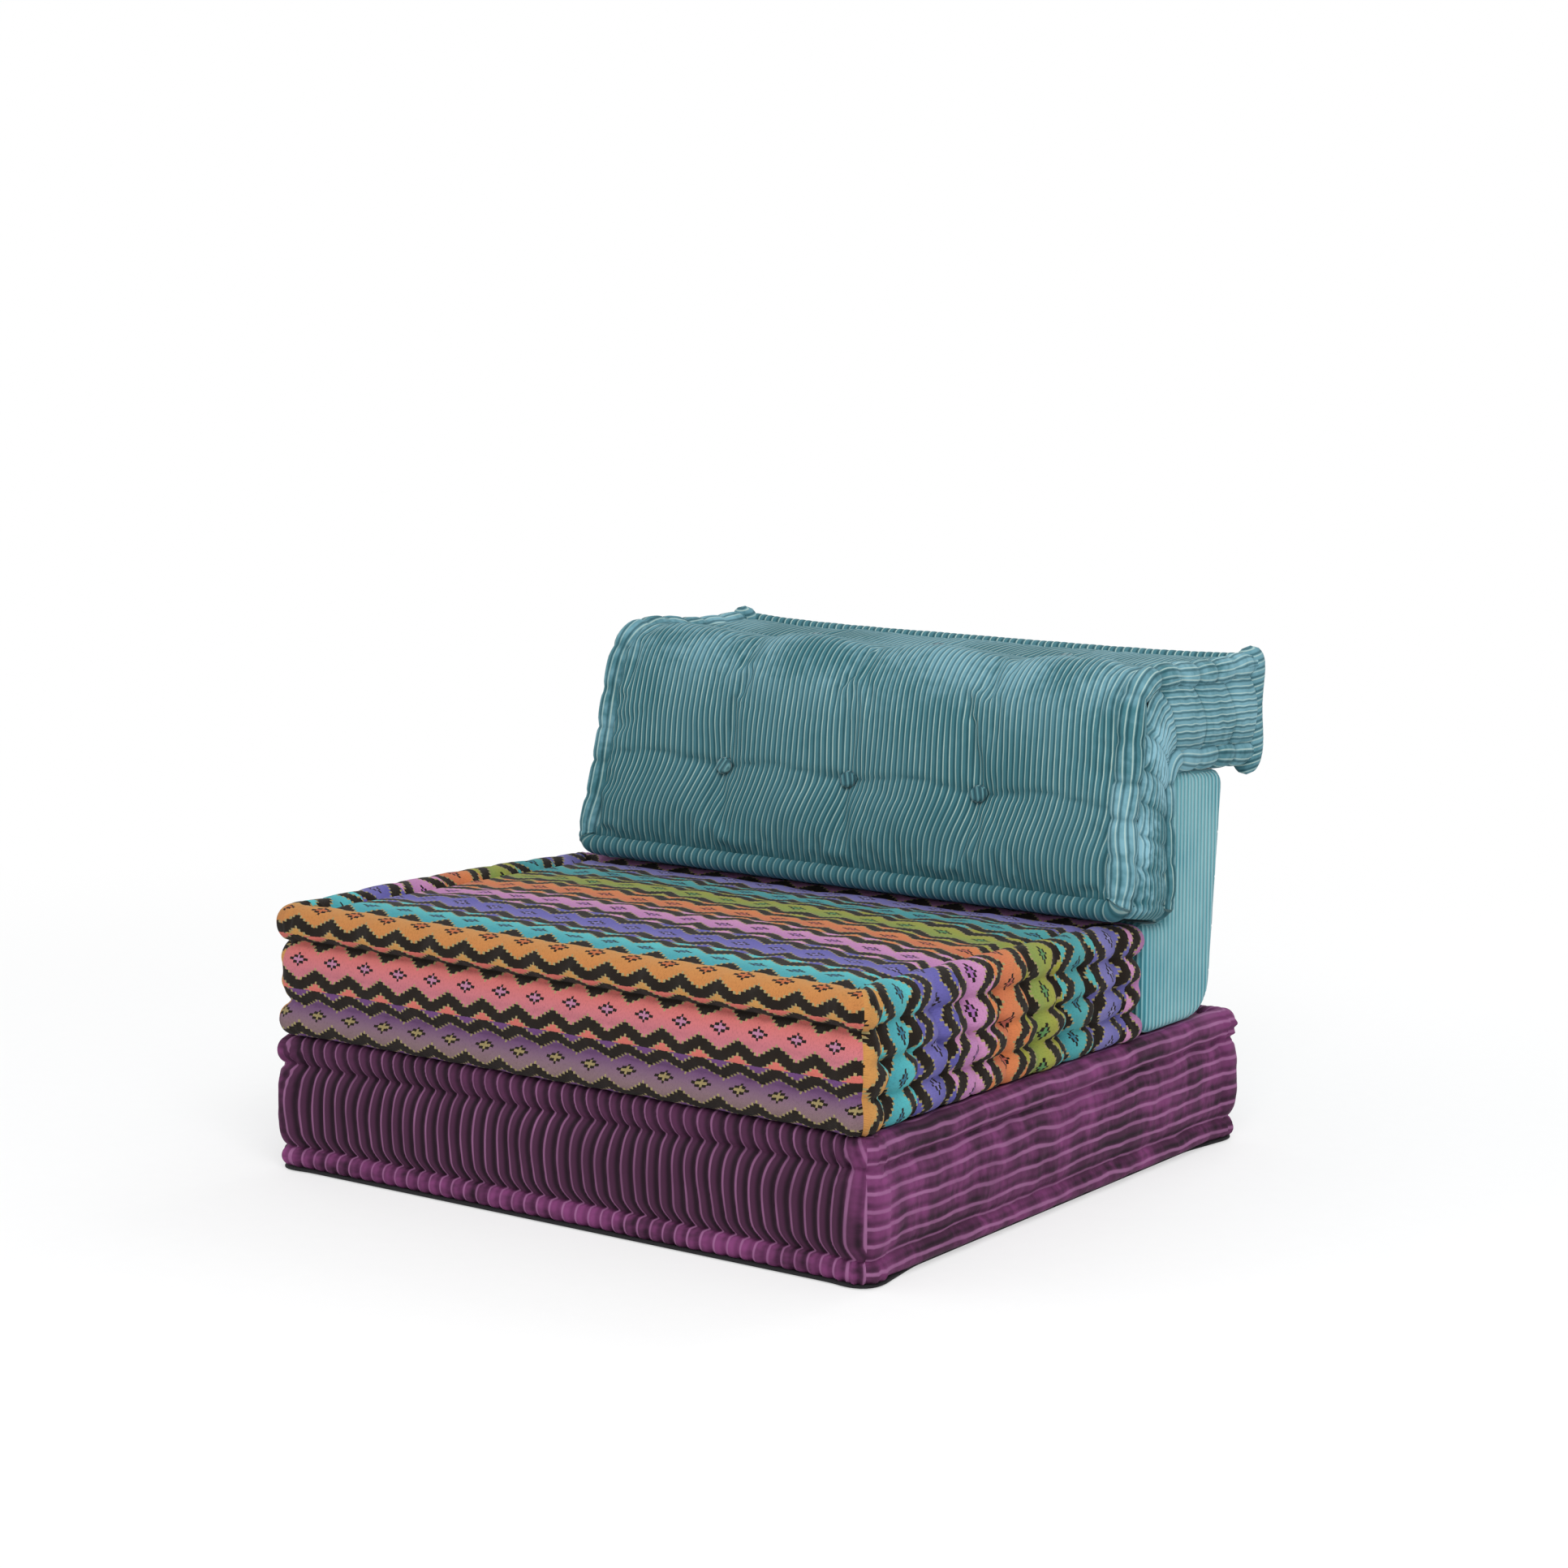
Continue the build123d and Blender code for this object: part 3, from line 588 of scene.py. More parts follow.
    def finish(self, colour: Signal, roughness: float, height: Signal, depth: float,
               **constants: object) -> bpy.types.Material:
        """Closes the finish with a surface that has a fine relief.

        Args:
            colour: The surface colour.
            roughness: The surface roughness.
            height: The relief between 0 and 1.
            depth: How deep that relief is, in metres.
            **constants: Other values of the shader, by their socket names with _ for spaces.

        Returns:
            The material.
        """
        shader = self.surface(colour, roughness, **constants)
        relief = self.node("ShaderNodeBump")
        relief.inputs["Distance"].default_value = depth
        self.feed(relief.inputs["Height"], height)
        self.tree.links.new(relief.outputs[0], shader.inputs["Normal"])
        output = self.node("ShaderNodeOutputMaterial")
        self.tree.links.new(shader.outputs[0], output.inputs[0])
        return self.owner


@dataclass(frozen=True)
class Corduroy:
    """Ribbed pile: a plump rib, a dark groove of painted shade, and a pale line of painted highlight along
    each rib.
    """

    name: str
    rib: str
    # The colour of the painted shade in the grooves, also used for the other painted shade.
    groove: str
    # The colour of the painted highlight along each rib, also the tint of the shader's sheen.
    line: str
    # The lighter pile colour, for crushed pile and for painted light on lit sides.
    crushed_lit: str
    # Where the painted highlight lies on each rib, how wide it is and how strong.
    highlight_at: float
    highlight_width: float
    highlight_strength: float
    sheen: float
    groove_width: float = 0.3
    groove_at: float = 0.0
    streak: float = 0.012
    depth: float = 0.0006
    crushed: float = 0.3
    # How the painted highlight grows or fades where the pile is crushed and lit.
    highlight_crush_gain: float = -0.4

    def material(self) -> bpy.types.Material:
        """Wires the finish."""
        desk = Desk(bpy.data.materials.new(self.name))
        across, along = desk.weave()
        crush_and_light = desk.attribute("crush_and_light")
        phase = across.fract()
        bell = phase.swing().flip()
        valley = (phase - self.groove_at).fract().swing().flip()
        place = desk.place()
        cloud = desk.noise(place, 9.0, 3.0)
        fleck = desk.streaks(across * 0.9, along * (1 / self.streak))
        # Painted shade: the groove colour fills each valley between the ribs.
        body = desk.mix(valley.rise(0.0, self.groove_width), tone(self.groove), tone(self.rib))
        away = (phase - self.highlight_at).size()
        # Painted highlight: a pale line along each rib, broken by streaks.
        line = away.rise(self.highlight_width * 0.35, self.highlight_width).flip()
        highlight_streaks = desk.streaks(across * 0.37, along * 14.0, 3.0).rise(0.25, 0.75)
        broken_highlight = line * (highlight_streaks * 0.45 + 0.55)
        # Keeps the painted shade in the grooves under the lighter pile patches.
        open_pile = valley.rise(0.0, self.groove_width) * (1 - self.crushed) + self.crushed
        blotch = (cloud * 0.75 + fleck * 0.25).rise(0.36, 0.62) * crush_and_light * open_pile
        # Lighter patches of crushed pile, partly painted light, where the mesh's share of it is high.
        body = desk.mix(blotch, body, tone(self.crushed_lit))
        highlight_share = broken_highlight * self.highlight_strength * (crush_and_light * self.highlight_crush_gain + 1.0)
        # Lays the painted highlight over the ribs.
        body = desk.mix(highlight_share, body, tone(self.line))
        shade = (desk.noise(place, 3.2, 2.0) + cloud * 0.5).rise(0.45, 1.05)
        body = desk.mix(shade * 0.16, body, tone(self.groove))
        # Painted shade from the mesh: creases, seams, stitches and lower parts.
        body = desk.mix(desk.attribute("painted_shade"), body, tone(self.groove))
        pile = desk.streaks(across * 9.0, along * 900.0)
        height = pile * 0.35 + bell.rise(0.0, 0.6)
        return desk.finish(
            body, 0.78, height, self.depth, Sheen_Weight=self.sheen, Sheen_Roughness=0.35,
            Sheen_Tint=tone(self.line), Specular_IOR_Level=0.2,
        )


@dataclass(frozen=True)
class Kilim:
    """A flat-woven cloth: rows of stepped lozenges between flame stitches, each row in its own colours."""

    name: str
    row_pitch: float = 0.080
    motif_pitch: float = 0.057
    first_row: int = -4
    rows: int = 16
    mains: tuple[str, ...] = (
        "6a4377", "6a4377", "c96a60", "bf8b4c", "54b4b6", "5a569c", "c488b0", "cf7c4a",
        "9c9a3e", "4fa3a2", "6460a0", "c488b0", "cc8446", "9a9a40", "54aeb0", "5a569c",
    )
    accents: tuple[str, ...] = (
        "8f7f55", "93835a", "ae7592", "b5653c", "2c6f86", "7c74b0", "9a62a0", "b45f50",
        "5b8a54", "2f7486", "8a84b8", "8a5490", "8e4a38", "b09444", "2c6f86", "7c74b0",
    )
    outline: str = "9a8c60"
    ground: str = "1c1512"
    spread: float = 0.42
    first_place: float = 0.04
    motif_steps: float = 9.0
    row_steps: float = 11.0
    weft_pitch: float = 0.0026
    warp_pitch: float = 0.0021

    def palette(self, desk: Desk, row: Signal, colours: tuple[str, ...]) -> Signal:
        """The colour of each row."""
        share = (row - (self.first_row - 0.5)) * (1 / self.rows)
        stops = [(place / self.rows, code) for place, code in enumerate(colours)]
        return desk.ramp(share, stops)

    def material(self) -> bpy.types.Material:
        """Wires the finish."""
        desk = Desk(bpy.data.materials.new(self.name))
        along, down = desk.weave()
        jag = desk.streaks(along * 420.0, down * 60.0, 1.0)
        row_place = (down - self.first_place) * (1 / self.row_pitch) + (jag - 0.5) * 0.03
        row = row_place.floor()
        level = row_place.fract()
        odd = (row * 0.5).fract()
        motif = along * (1 / self.motif_pitch) + odd
        side = motif.fract().swing().stepped(self.motif_steps)
        rise = level.swing().stepped(self.row_steps)
        ring = side * self.spread + rise
        main = self.palette(desk, row, self.mains)
        accent = self.palette(desk, row, self.accents)
        fade = desk.mix(level.rise(0.15, 0.9).flip() * 0.5, main, accent)
        bands = (
            (0.11, tone(self.ground)), (0.19, fade), (0.66, tone(self.outline)), (0.72, tone(self.ground)),
            (1.12, tone(self.outline)), (1.18, main),
        )
        body = accent
        for limit, colour in bands:
            body = desk.mix(ring.over(limit), body, colour)
        fleck = desk.streaks(along * 700.0, down * 260.0)
        body = desk.mix((fleck.rise(0.45, 0.75)) * 0.22, body, tone(self.ground))
        pick = (along * (FULL_TURN / self.weft_pitch)).wave() * (down * (FULL_TURN / self.warp_pitch)).wave()
        body = desk.mix(pick.rise(0.1, 0.9) * 0.05, body, tone(self.outline))
        raised = ring.over(0.70).flip() * 0.4 + pick * 0.3 + fleck * 0.3
        return desk.finish(
            body, 0.86, raised, 0.0007, Sheen_Weight=0.06, Sheen_Roughness=0.5, Specular_IOR_Level=0.1,
        )


@dataclass(frozen=True)
class Plain:
    """A mottled plain finish for the hidden and the hard pieces."""

    name: str
    light: str
    dark: str
    grain: tuple[float, float, float] = (60.0, 60.0, 60.0)
    roughness: float = 0.8
    metallic: float = 0.0
    depth: float = 0.0003

    def material(self) -> bpy.types.Material:
        """Wires the finish."""
        desk = Desk(bpy.data.materials.new(self.name))
        x, y, z = desk.axes(desk.place())
        spread = desk.vector(x * self.grain[0], y * self.grain[1], z * self.grain[2])
        cloud = desk.noise(spread, 1.0, 4.0)
        body = desk.mix(cloud.rise(0.3, 0.7), tone(self.light), tone(self.dark))
        return desk.finish(body, self.roughness, cloud, self.depth, Metallic=self.metallic)


@dataclass(frozen=True)
class SideRibs:
    """Fine ribs that stand upright and run round the corners of a solid, read from where a point is, with
    painted shade in each groove and a painted highlight line on each crest.
    """

    name: str
    pitch: float
    rib: str
    # groove is the colour of painted shade, line that of a painted highlight.
    groove: str
    line: str
    half: float = 0.465
    middle: float = 0.32

    def material(self) -> bpy.types.Material:
        """Wires the finish."""
        desk = Desk(bpy.data.materials.new(self.name))
        place = desk.place()
        x, y, z = desk.axes(place)
        facing = desk.axes(Signal(desk, desk.node("ShaderNodeNewGeometry").outputs["True Normal"]))
        level = facing[2].size().over(0.7)
        before = y.over(self.middle).flip() * 2.0 - 1.0
        round_it = y + (x.size() - self.half) * before
        across = (x * level + round_it * level.flip()) * (1 / self.pitch)
        phase = across.fract()
        bell = phase.swing().flip()
        cloud = desk.noise(place, 7.0, 3.0)
        streak = desk.streaks(across * 0.4, z * 9.0, 3.0)
        # Painted shade: the groove colour fills the grooves.
        body = desk.mix(bell.rise(0.0, 0.5), tone(self.groove), tone(self.rib))
        # Painted highlight: a pale line along each crest, broken by streaks.
        line = (phase - 0.5).size().rise(0.06, 0.2).flip() * (streak.rise(0.3, 0.7) * 0.5 + 0.4)
        body = desk.mix(line, body, tone(self.line))
        body = desk.mix(cloud.rise(0.4, 0.7) * 0.25, body, tone(self.line))
        pile = desk.streaks(across * 8.0, z * 800.0)
        return desk.finish(
            body, 0.8, bell.rise(0.0, 0.8) + pile * 0.2, 0.0012, Sheen_Weight=0.3, Sheen_Roughness=0.4,
            Specular_IOR_Level=0.2,
        )


class Facing(Enum):
    """The sides of a rounded outline: which way each looks, and which way it is walked."""

    FRONT = ((0, -1), (1, 0))
    RIGHT = ((1, 0), (0, 1))
    REAR = ((0, 1), (-1, 0))
    LEFT = ((-1, 0), (0, -1))

    @property
    def flank(self) -> bool:
        """Whether it is the left or the right side."""
        return self in (Facing.RIGHT, Facing.LEFT)


@dataclass(frozen=True)
class Side:
    """One side of a rounded outline, from the middle of one corner to the middle of the next."""

    facing: Facing
    half_along: float
    half_out: float
    corner: float

    @property
    def straight(self) -> float:
        """The length between its corners."""
        return 2 * (self.half_along - self.corner)

    @property
    def length(self) -> float:
        """The whole length of the side."""
        return self.straight + self.corner * pi / 2

    def at(self, travel: Array) -> tuple[Array, Array]:
        """Places along the side.

        Args:
            travel: Distances from its start, in metres.

        Returns:
            Points and outward normals.
        """
        quarter = self.corner * pi / 4
        turn = np.clip((travel - quarter) / self.corner, -pi / 4, 0)
        turn = turn + np.clip((travel - quarter - self.straight) / self.corner, 0, pi / 4)
        run = np.clip(travel - quarter, 0, self.straight)
        out, along = np.array(self.facing.value[0], float), np.array(self.facing.value[1], float)
        normal = np.cos(turn)[..., None] * out + np.sin(turn)[..., None] * along
        points = (run - self.straight / 2)[..., None] * along + (self.half_out - self.corner) * out
        return points + self.corner * normal, normal

    def from_ends(self, travel: Array) -> Array:
        """How far places along the side are from its nearer end, as one row."""
        return np.minimum(travel, self.length - travel)[None]


@dataclass
class Profile:
    """The section of a cushion's edge, from its underside up over both rolls."""

    inset: Array
    level: Array
    arc: Array
    low_crease: float = 0.0
    top_crease: float = 0.0
    end_crease: float = 0.0
    crease_half: float = 0.004

    def rolls(self) -> tuple[Array, Array]:
        """1 on the top roll, and 1 on the low roll, each fading out over its crease, as one column."""
        arc, half = self.arc[:, None], self.crease_half
        top = smooth(arc, self.top_crease - half, self.top_crease + half)
        return top, 1 - smooth(arc, self.low_crease - half, self.low_crease + half)


@dataclass(frozen=True)
class Gathers:
    """How the cloth of a cushion is gathered at its corners, in metres."""

    puff: float
    puff_reach: float
    pleat: float
    pleat_pitch: float
    lip: float
    lip_at: float
    lip_reach: float
    pleat_reach: float = 0.032
    seam: float = 0.004

    def puffed(self, end: Array) -> Array:
        """How far in the cloth lies near a corner, which it makes squarer; out is below zero."""
        return -self.puff * hump(end, 0.0, self.puff_reach)

    def drawn(self, end: Array, on_top: Array, on_low: Array) -> Array:
        """How far in the puffed cloth lies with its corner seam and the pleats of its rolls.

        Args:
            end: Distances from the corner.
            on_top: 1 on the top roll.
            on_low: 1 on the low roll.

        Returns:
            Distances inward.
        """
        seam = self.seam * hump(end, 0.0, self.seam) * (1 - on_top)
        pleats = self.pleat * np.sin(end / self.pleat_pitch * FULL_TURN) * hump(end, 0.0, self.pleat_reach)
        lip = self.lip * hump(end, self.lip_at, self.lip_reach)
        return self.puffed(end) + seam - (pleats + lip) * (on_top + on_low)


@dataclass
class Cushion:
    """A box cushion with a sewn roll round its top and its bottom edge."""

    width: float
    depth: float
    height: float
    corner: float
    top_roll: float
    low_roll: float
    middle_y: float
    floor: float
    sag: float = 0.0
    drop: float = 0.0
    crease: float = 0.008
    belly: float = 5.0
    under: float = 0.050
    join: float = 62.0
    top_end: float = 158.0
    gap: float = 0.001

    @property
    def core(self) -> Vector:
        """A point in its middle."""
        return Vector((0, self.middle_y, self.floor + self.height / 2))

    def sides(self) -> list[Side]:
        """Its four sides."""
        half_x, half_y = self.width / 2, self.depth / 2
        return [
            Side(facing, half_y if facing.flank else half_x, half_x if facing.flank else half_y, self.corner)
            for facing in Facing
        ]

    def profile(self, pitch: float) -> Profile:
        """Samples the edge's section evenly.

        Args:
            pitch: The distance between samples, in metres.

        Returns:
            The section.
        """
        low, top = self.low_roll, self.top_roll
        low_centre, top_centre = low - self.sag, self.height - top
        turn = np.radians(np.linspace(-90, self.join, 40))
        inset = [np.linspace(low + self.under, low, 8)[:-1], low - low * np.cos(turn)]
        level = [np.linspace(0.0004, low_centre - low, 8)[:-1], low_centre + low * np.sin(turn)]
        share = np.linspace(0, 1, 60)
        start, end = 2 * low - self.sag + self.gap, self.height - 2 * top - self.gap
        inset.append(self.crease * np.abs(2 * share - 1) ** self.belly)
        level.append(start + (end - start) * share)
        turn = np.radians(np.linspace(-self.join, self.top_end, 60))
        inset.append(top - top * np.cos(turn))
        level.append(top_centre + top * np.sin(turn))
        inset_all, level_all = np.concatenate(inset), np.concatenate(level)
        arc = np.concatenate([[0], np.cumsum(np.hypot(np.diff(inset_all), np.diff(level_all)))])
        places = steps(0, arc[-1], pitch)
        counts = np.cumsum([len(part) for part in inset])
        return Profile(
            np.interp(places, arc, inset_all), np.interp(places, arc, level_all), places,
            arc[counts[1]], arc[counts[2]], arc[-1],
        )

    def lowered(self, y: Array, level: Array) -> Array:
        """How far a point at a level hangs lower towards the rear."""
        return self.drop * level / self.height * (y - self.middle_y + self.depth / 2) / self.depth

    def swept(self, side: Side, travel: Array, section: Profile, extra: Array) -> Array:
        """The points of one side's edge.

        Args:
            side: The side.
            travel: Distances along it.
            section: The edge's section.
            extra: How much further in each point lies, rows by section and columns by travel.

        Returns:
            A grid of points.
        """
        spots, normal = side.at(travel)
        inset = section.inset[:, None] + extra
        flat = spots[None] - normal[None] * inset[..., None]
        y = flat[..., 1] + self.middle_y
        level = np.broadcast_to(section.level[:, None], y.shape)
        z = self.floor + level - self.lowered(y, level)
        return np.stack([flat[..., 0], y, z], axis=-1)

    def top_grid(self, x: Array, y: Array, rise: float, crown: float, reach: float) -> tuple[Array, Array]:
        """The top panel between its rolls.

        Args:
            x: Places across.
            y: Places from front to rear, from the cushion's middle.
            rise: How far its seam lies below its field.
            crown: How much its middle stands up.
            reach: How far in the crown is full.

        Returns:
            The points, and each point's distance from the seam.
        """
        grid_x, grid_y = np.meshgrid(x, y)
        from_edge = np.minimum(self.width / 2 - np.abs(grid_x), self.depth / 2 - np.abs(grid_y))
        away = from_edge - 1.9 * self.top_roll
        level = self.height - rise * (1 - smooth(away, 0, 0.024)) + crown * smooth(away, 0.01, reach)
        z = self.floor + level - self.lowered(grid_y + self.middle_y, level)
        return np.stack([grid_x, grid_y + self.middle_y, z], axis=-1), away


@dataclass
class Base:
    """The ribbed base: edges, top, gathered corners and the dark hem under it, partly a painted shadow line.
    Sizes are in metres.
    """

    cushion: Cushion = field(default_factory=lambda: Cushion(
        width=0.950, depth=0.890, height=0.175, corner=0.046, top_roll=0.020, low_roll=0.014,
        middle_y=0.0, floor=0.006, sag=0.002, crease=0.010, under=0.083,
    ))
    gathers: Gathers = Gathers(
        puff=0.011, puff_reach=0.026, pleat=0.0030, pleat_pitch=0.0105, lip=0.0020, lip_at=0.006,
        lip_reach=0.010,
    )
    ribs_across: int = 47
    flank_pitch: float = 0.0205
    groove: float = 0.0048
    flank_groove: float = 0.40
    front_samples: int = 8
    rear_samples: int = 6
    step: float = 0.006
    side_puff: float = 0.0060
    side_puff_reach: float = 0.040
    crumple: float = 0.0036
    flank_fold: float = 0.0030
    furthest_out: float = 0.017
    seam_flat: float = 0.012
    # The hem's section, from under the base out to its visible edge and back; pulled out to show as a dark
    # line, partly the real dust cover and partly a painted shadow line under the base.
    hem_shadow_inset: tuple[float, ...] = (0.020, 0.006, 0.0025, 0.0025, 0.006, 0.020)
    hem_shadow_level: tuple[float, ...] = (-0.0008, -0.0010, -0.0020, -0.0042, -0.0052, -0.0054)

    def flank_cloth(self, travel: Array, section: Profile, loose: Array) -> tuple[Array, ...]:
        """The cloth at the left or right, whose ribs lie level.

        Args:
            travel: Distances along the side, as one row.
            section: The edge's section.
            loose: 1 away from the corner seams.

        Returns:
            The place across the ribs and along them, the grooves' depth, further inset, and the share of
            lighter crushed pile with painted light.
        """
        arc = section.arc[:, None]
        on_top, _ = section.rolls()
        waver = 0.11 * wander(travel, arc, 0.16, 5) + 0.06 * wander(travel, arc, 0.05, 6)
        across = (section.end_crease - arc) / self.flank_pitch + waver
        deep = self.groove * self.flank_groove * (0.75 + 0.35 * wander(travel, arc, 0.09, 7))
        crush = 0.0006 * wander(travel, arc * 0.4, 0.017, 9) * (1 - on_top)
        inset = (0.0010 * wander(travel, arc, 0.045, 8) + crush) * loose
        # Painted light and crushed pile: the flanks get more of the lighter pile colour than the front.
        crush_and_light = np.clip(0.75 + 0.35 * wander(travel, arc * 0.3, 0.05, 10), 0, 1)
        return across, travel, deep, inset, crush_and_light

    def upright_cloth(self, side: Side, travel: Array, section: Profile, loose: Array) -> tuple[Array, ...]:
        """The cloth at the front or rear, whose ribs stand up and bow a little.

        Args:
            side: The side.
            travel: Distances along the side, as one row.
            section: The edge's section.
            loose: 1 away from the corner seams.

        Returns:
            The place across the ribs and along them, the grooves' depth, further inset, and the share of
            lighter crushed pile with painted light.
        """
        arc = section.arc[:, None]
        on_top, on_low = section.rolls()
        up = np.clip((arc - section.low_crease) / (section.top_crease - section.low_crease), 0, 1)
        lean = 0.55 * smooth(arc, section.top_crease, section.top_crease + 0.045) + 0.25 * on_low
        sway = 0.14 * wander(travel, arc * 1.4, 0.21, 11) + 0.06 * wander(travel, arc, 0.07, 12)
        bow = 0.42 * np.sin(pi * up) ** 0.8 - 0.30 * (1 - smooth(up, 0.0, 0.22)) * (1 - on_low)
        across = travel / side.length * self.ribs_across + lean + sway + bow
        plump = 0.92 + 0.12 * wander(travel, arc, 0.06, 13)
        deep = self.groove * (plump + 0.25 * on_top + 0.1 * on_low)
        inset = 0.0013 * wander(travel, arc, 0.14, 14) * loose
        # Painted light and crushed pile: the low roll, a little of the top roll and the corners get the
        # lighter pile colour.
        crush_and_light = 0.85 * on_low + 0.12 * on_top + 0.8 * hump(side.from_ends(travel[0]), 0.0, 0.016)
        return across, arc, deep, inset, crush_and_light

    def edge(self, side: Side, section: Profile) -> bpy.types.Object:
        """Sews the edge cloth of one side.

        Args:
            side: The side.
            section: The edge's section.

        Returns:
            The new piece.
        """
        flank = side.facing.flank
        fine = self.front_samples if side.facing is Facing.FRONT else self.rear_samples
        travel = steps(0, side.length, self.step if flank else side.length / self.ribs_across / fine)
        arc, end, row = section.arc[:, None], side.from_ends(travel), travel[None]
        on_top, on_low = section.rolls()
        rolls, loose = on_top + on_low, smooth(end, 0.0, self.seam_flat)
        inset = self.gathers.drawn(end, on_top, on_low)
        inset = inset - self.side_puff * hump(end, 0.0, self.side_puff_reach) * (1 - rolls)
        crumpled = hump(end, 0.018, 0.020) * hump(arc, section.top_crease + 0.004, 0.028) * loose
        inset = inset - self.crumple * wander(row, arc, 0.016, 16) * crumpled
        if flank:
            inset = inset + self.flank_fold * hump(end, 0.038, 0.0035) * (1 - 0.4 * rolls)
            across, along, deep, more, crush_and_light = self.flank_cloth(row, section, loose)
        else:
            across, along, deep, more, crush_and_light = self.upright_cloth(side, row, section, loose)
        deep = np.maximum(deep * smooth(end, 0.002, 0.016), 0)
        inset = np.maximum(inset + more + deep * (1 - ribs(across)), -self.furthest_out)
        spots = self.cushion.swept(side, travel, section, inset)
        name = f"base_edge_{side.facing.name.lower()}"
        return Cloth(name, spots, woven(across, along), crush_and_light).make(self.cushion.core)

    def hem_shadow_line(self, side: Side) -> bpy.types.Object:
        """Sews the dark hem of the dust cover, pulled out to show as a line under the low roll: partly the
        real cover, partly a painted shadow line in place of the contact shadow.

        Args:
            side: The side.

        Returns:
            The new piece.
        """
        inset, level = np.array(self.hem_shadow_inset), np.array(self.hem_shadow_level)
        travel = steps(0, side.length, self.step)
        end = side.from_ends(travel)
        under = 0.010 * smooth(end, 0.03, 0.12) * side.facing.flank
        section = Profile(inset, level, np.arange(float(len(inset))))
        spots = self.cushion.swept(side, travel, section, self.gathers.puffed(end) + under)
        weave = woven(travel[None], level[:, None])
        return Cloth(f"base_hem_shadow_line_{side.facing.name.lower()}", spots, weave).make(self.cushion.core)

    def top(self) -> bpy.types.Object:
        """Sews the ribbed top panel."""
        cushion = self.cushion
        side = cushion.sides()[0]
        pitch = side.length / self.ribs_across
        half_x, half_y = cushion.width / 2 - 0.032, cushion.depth / 2 - 0.032
        places_x = steps(-half_x, half_x, pitch / self.front_samples)
        places_y = steps(-half_y, half_y, 0.014)
        spots, _ = cushion.top_grid(places_x, places_y, rise=0.007, crown=0.0, reach=0.1)
        x, y = spots[..., 0], spots[..., 1]
        across = (x + side.length / 2) / pitch + 0.42 + 0.05 * wander(x, y, 0.2, 15)
        spots[..., 2] -= self.groove * 0.8 * (1 - ribs(across)) + 0.0004
        return Cloth("base_top", spots, woven(across, y), crush_and_light=0.25).make(cushion.core)

    def build(self, finish: bpy.types.Material, dark: bpy.types.Material) -> None:
        """Makes the base's cloth and its dark hem, partly a painted shadow line, and fixes them to the base.

        Args:
            finish: The cover's finish.
            dark: The dust cover's finish.
        """
        # The hem is partly painted shadow: a dark line under the low roll.
        hem_shadow_line = sewn("base_dust_hem_shadow_line", [self.hem_shadow_line(side) for side in self.cushion.sides()])
        dress(hem_shadow_line, dark, "base")
        section = self.cushion.profile(0.0026)
        parts = [self.edge(side, section) for side in self.cushion.sides()]
        cover = sewn("base_ribbed_cover", parts + [self.top()])
        dress(cover, finish, "base", stands_for=("base_cover",))


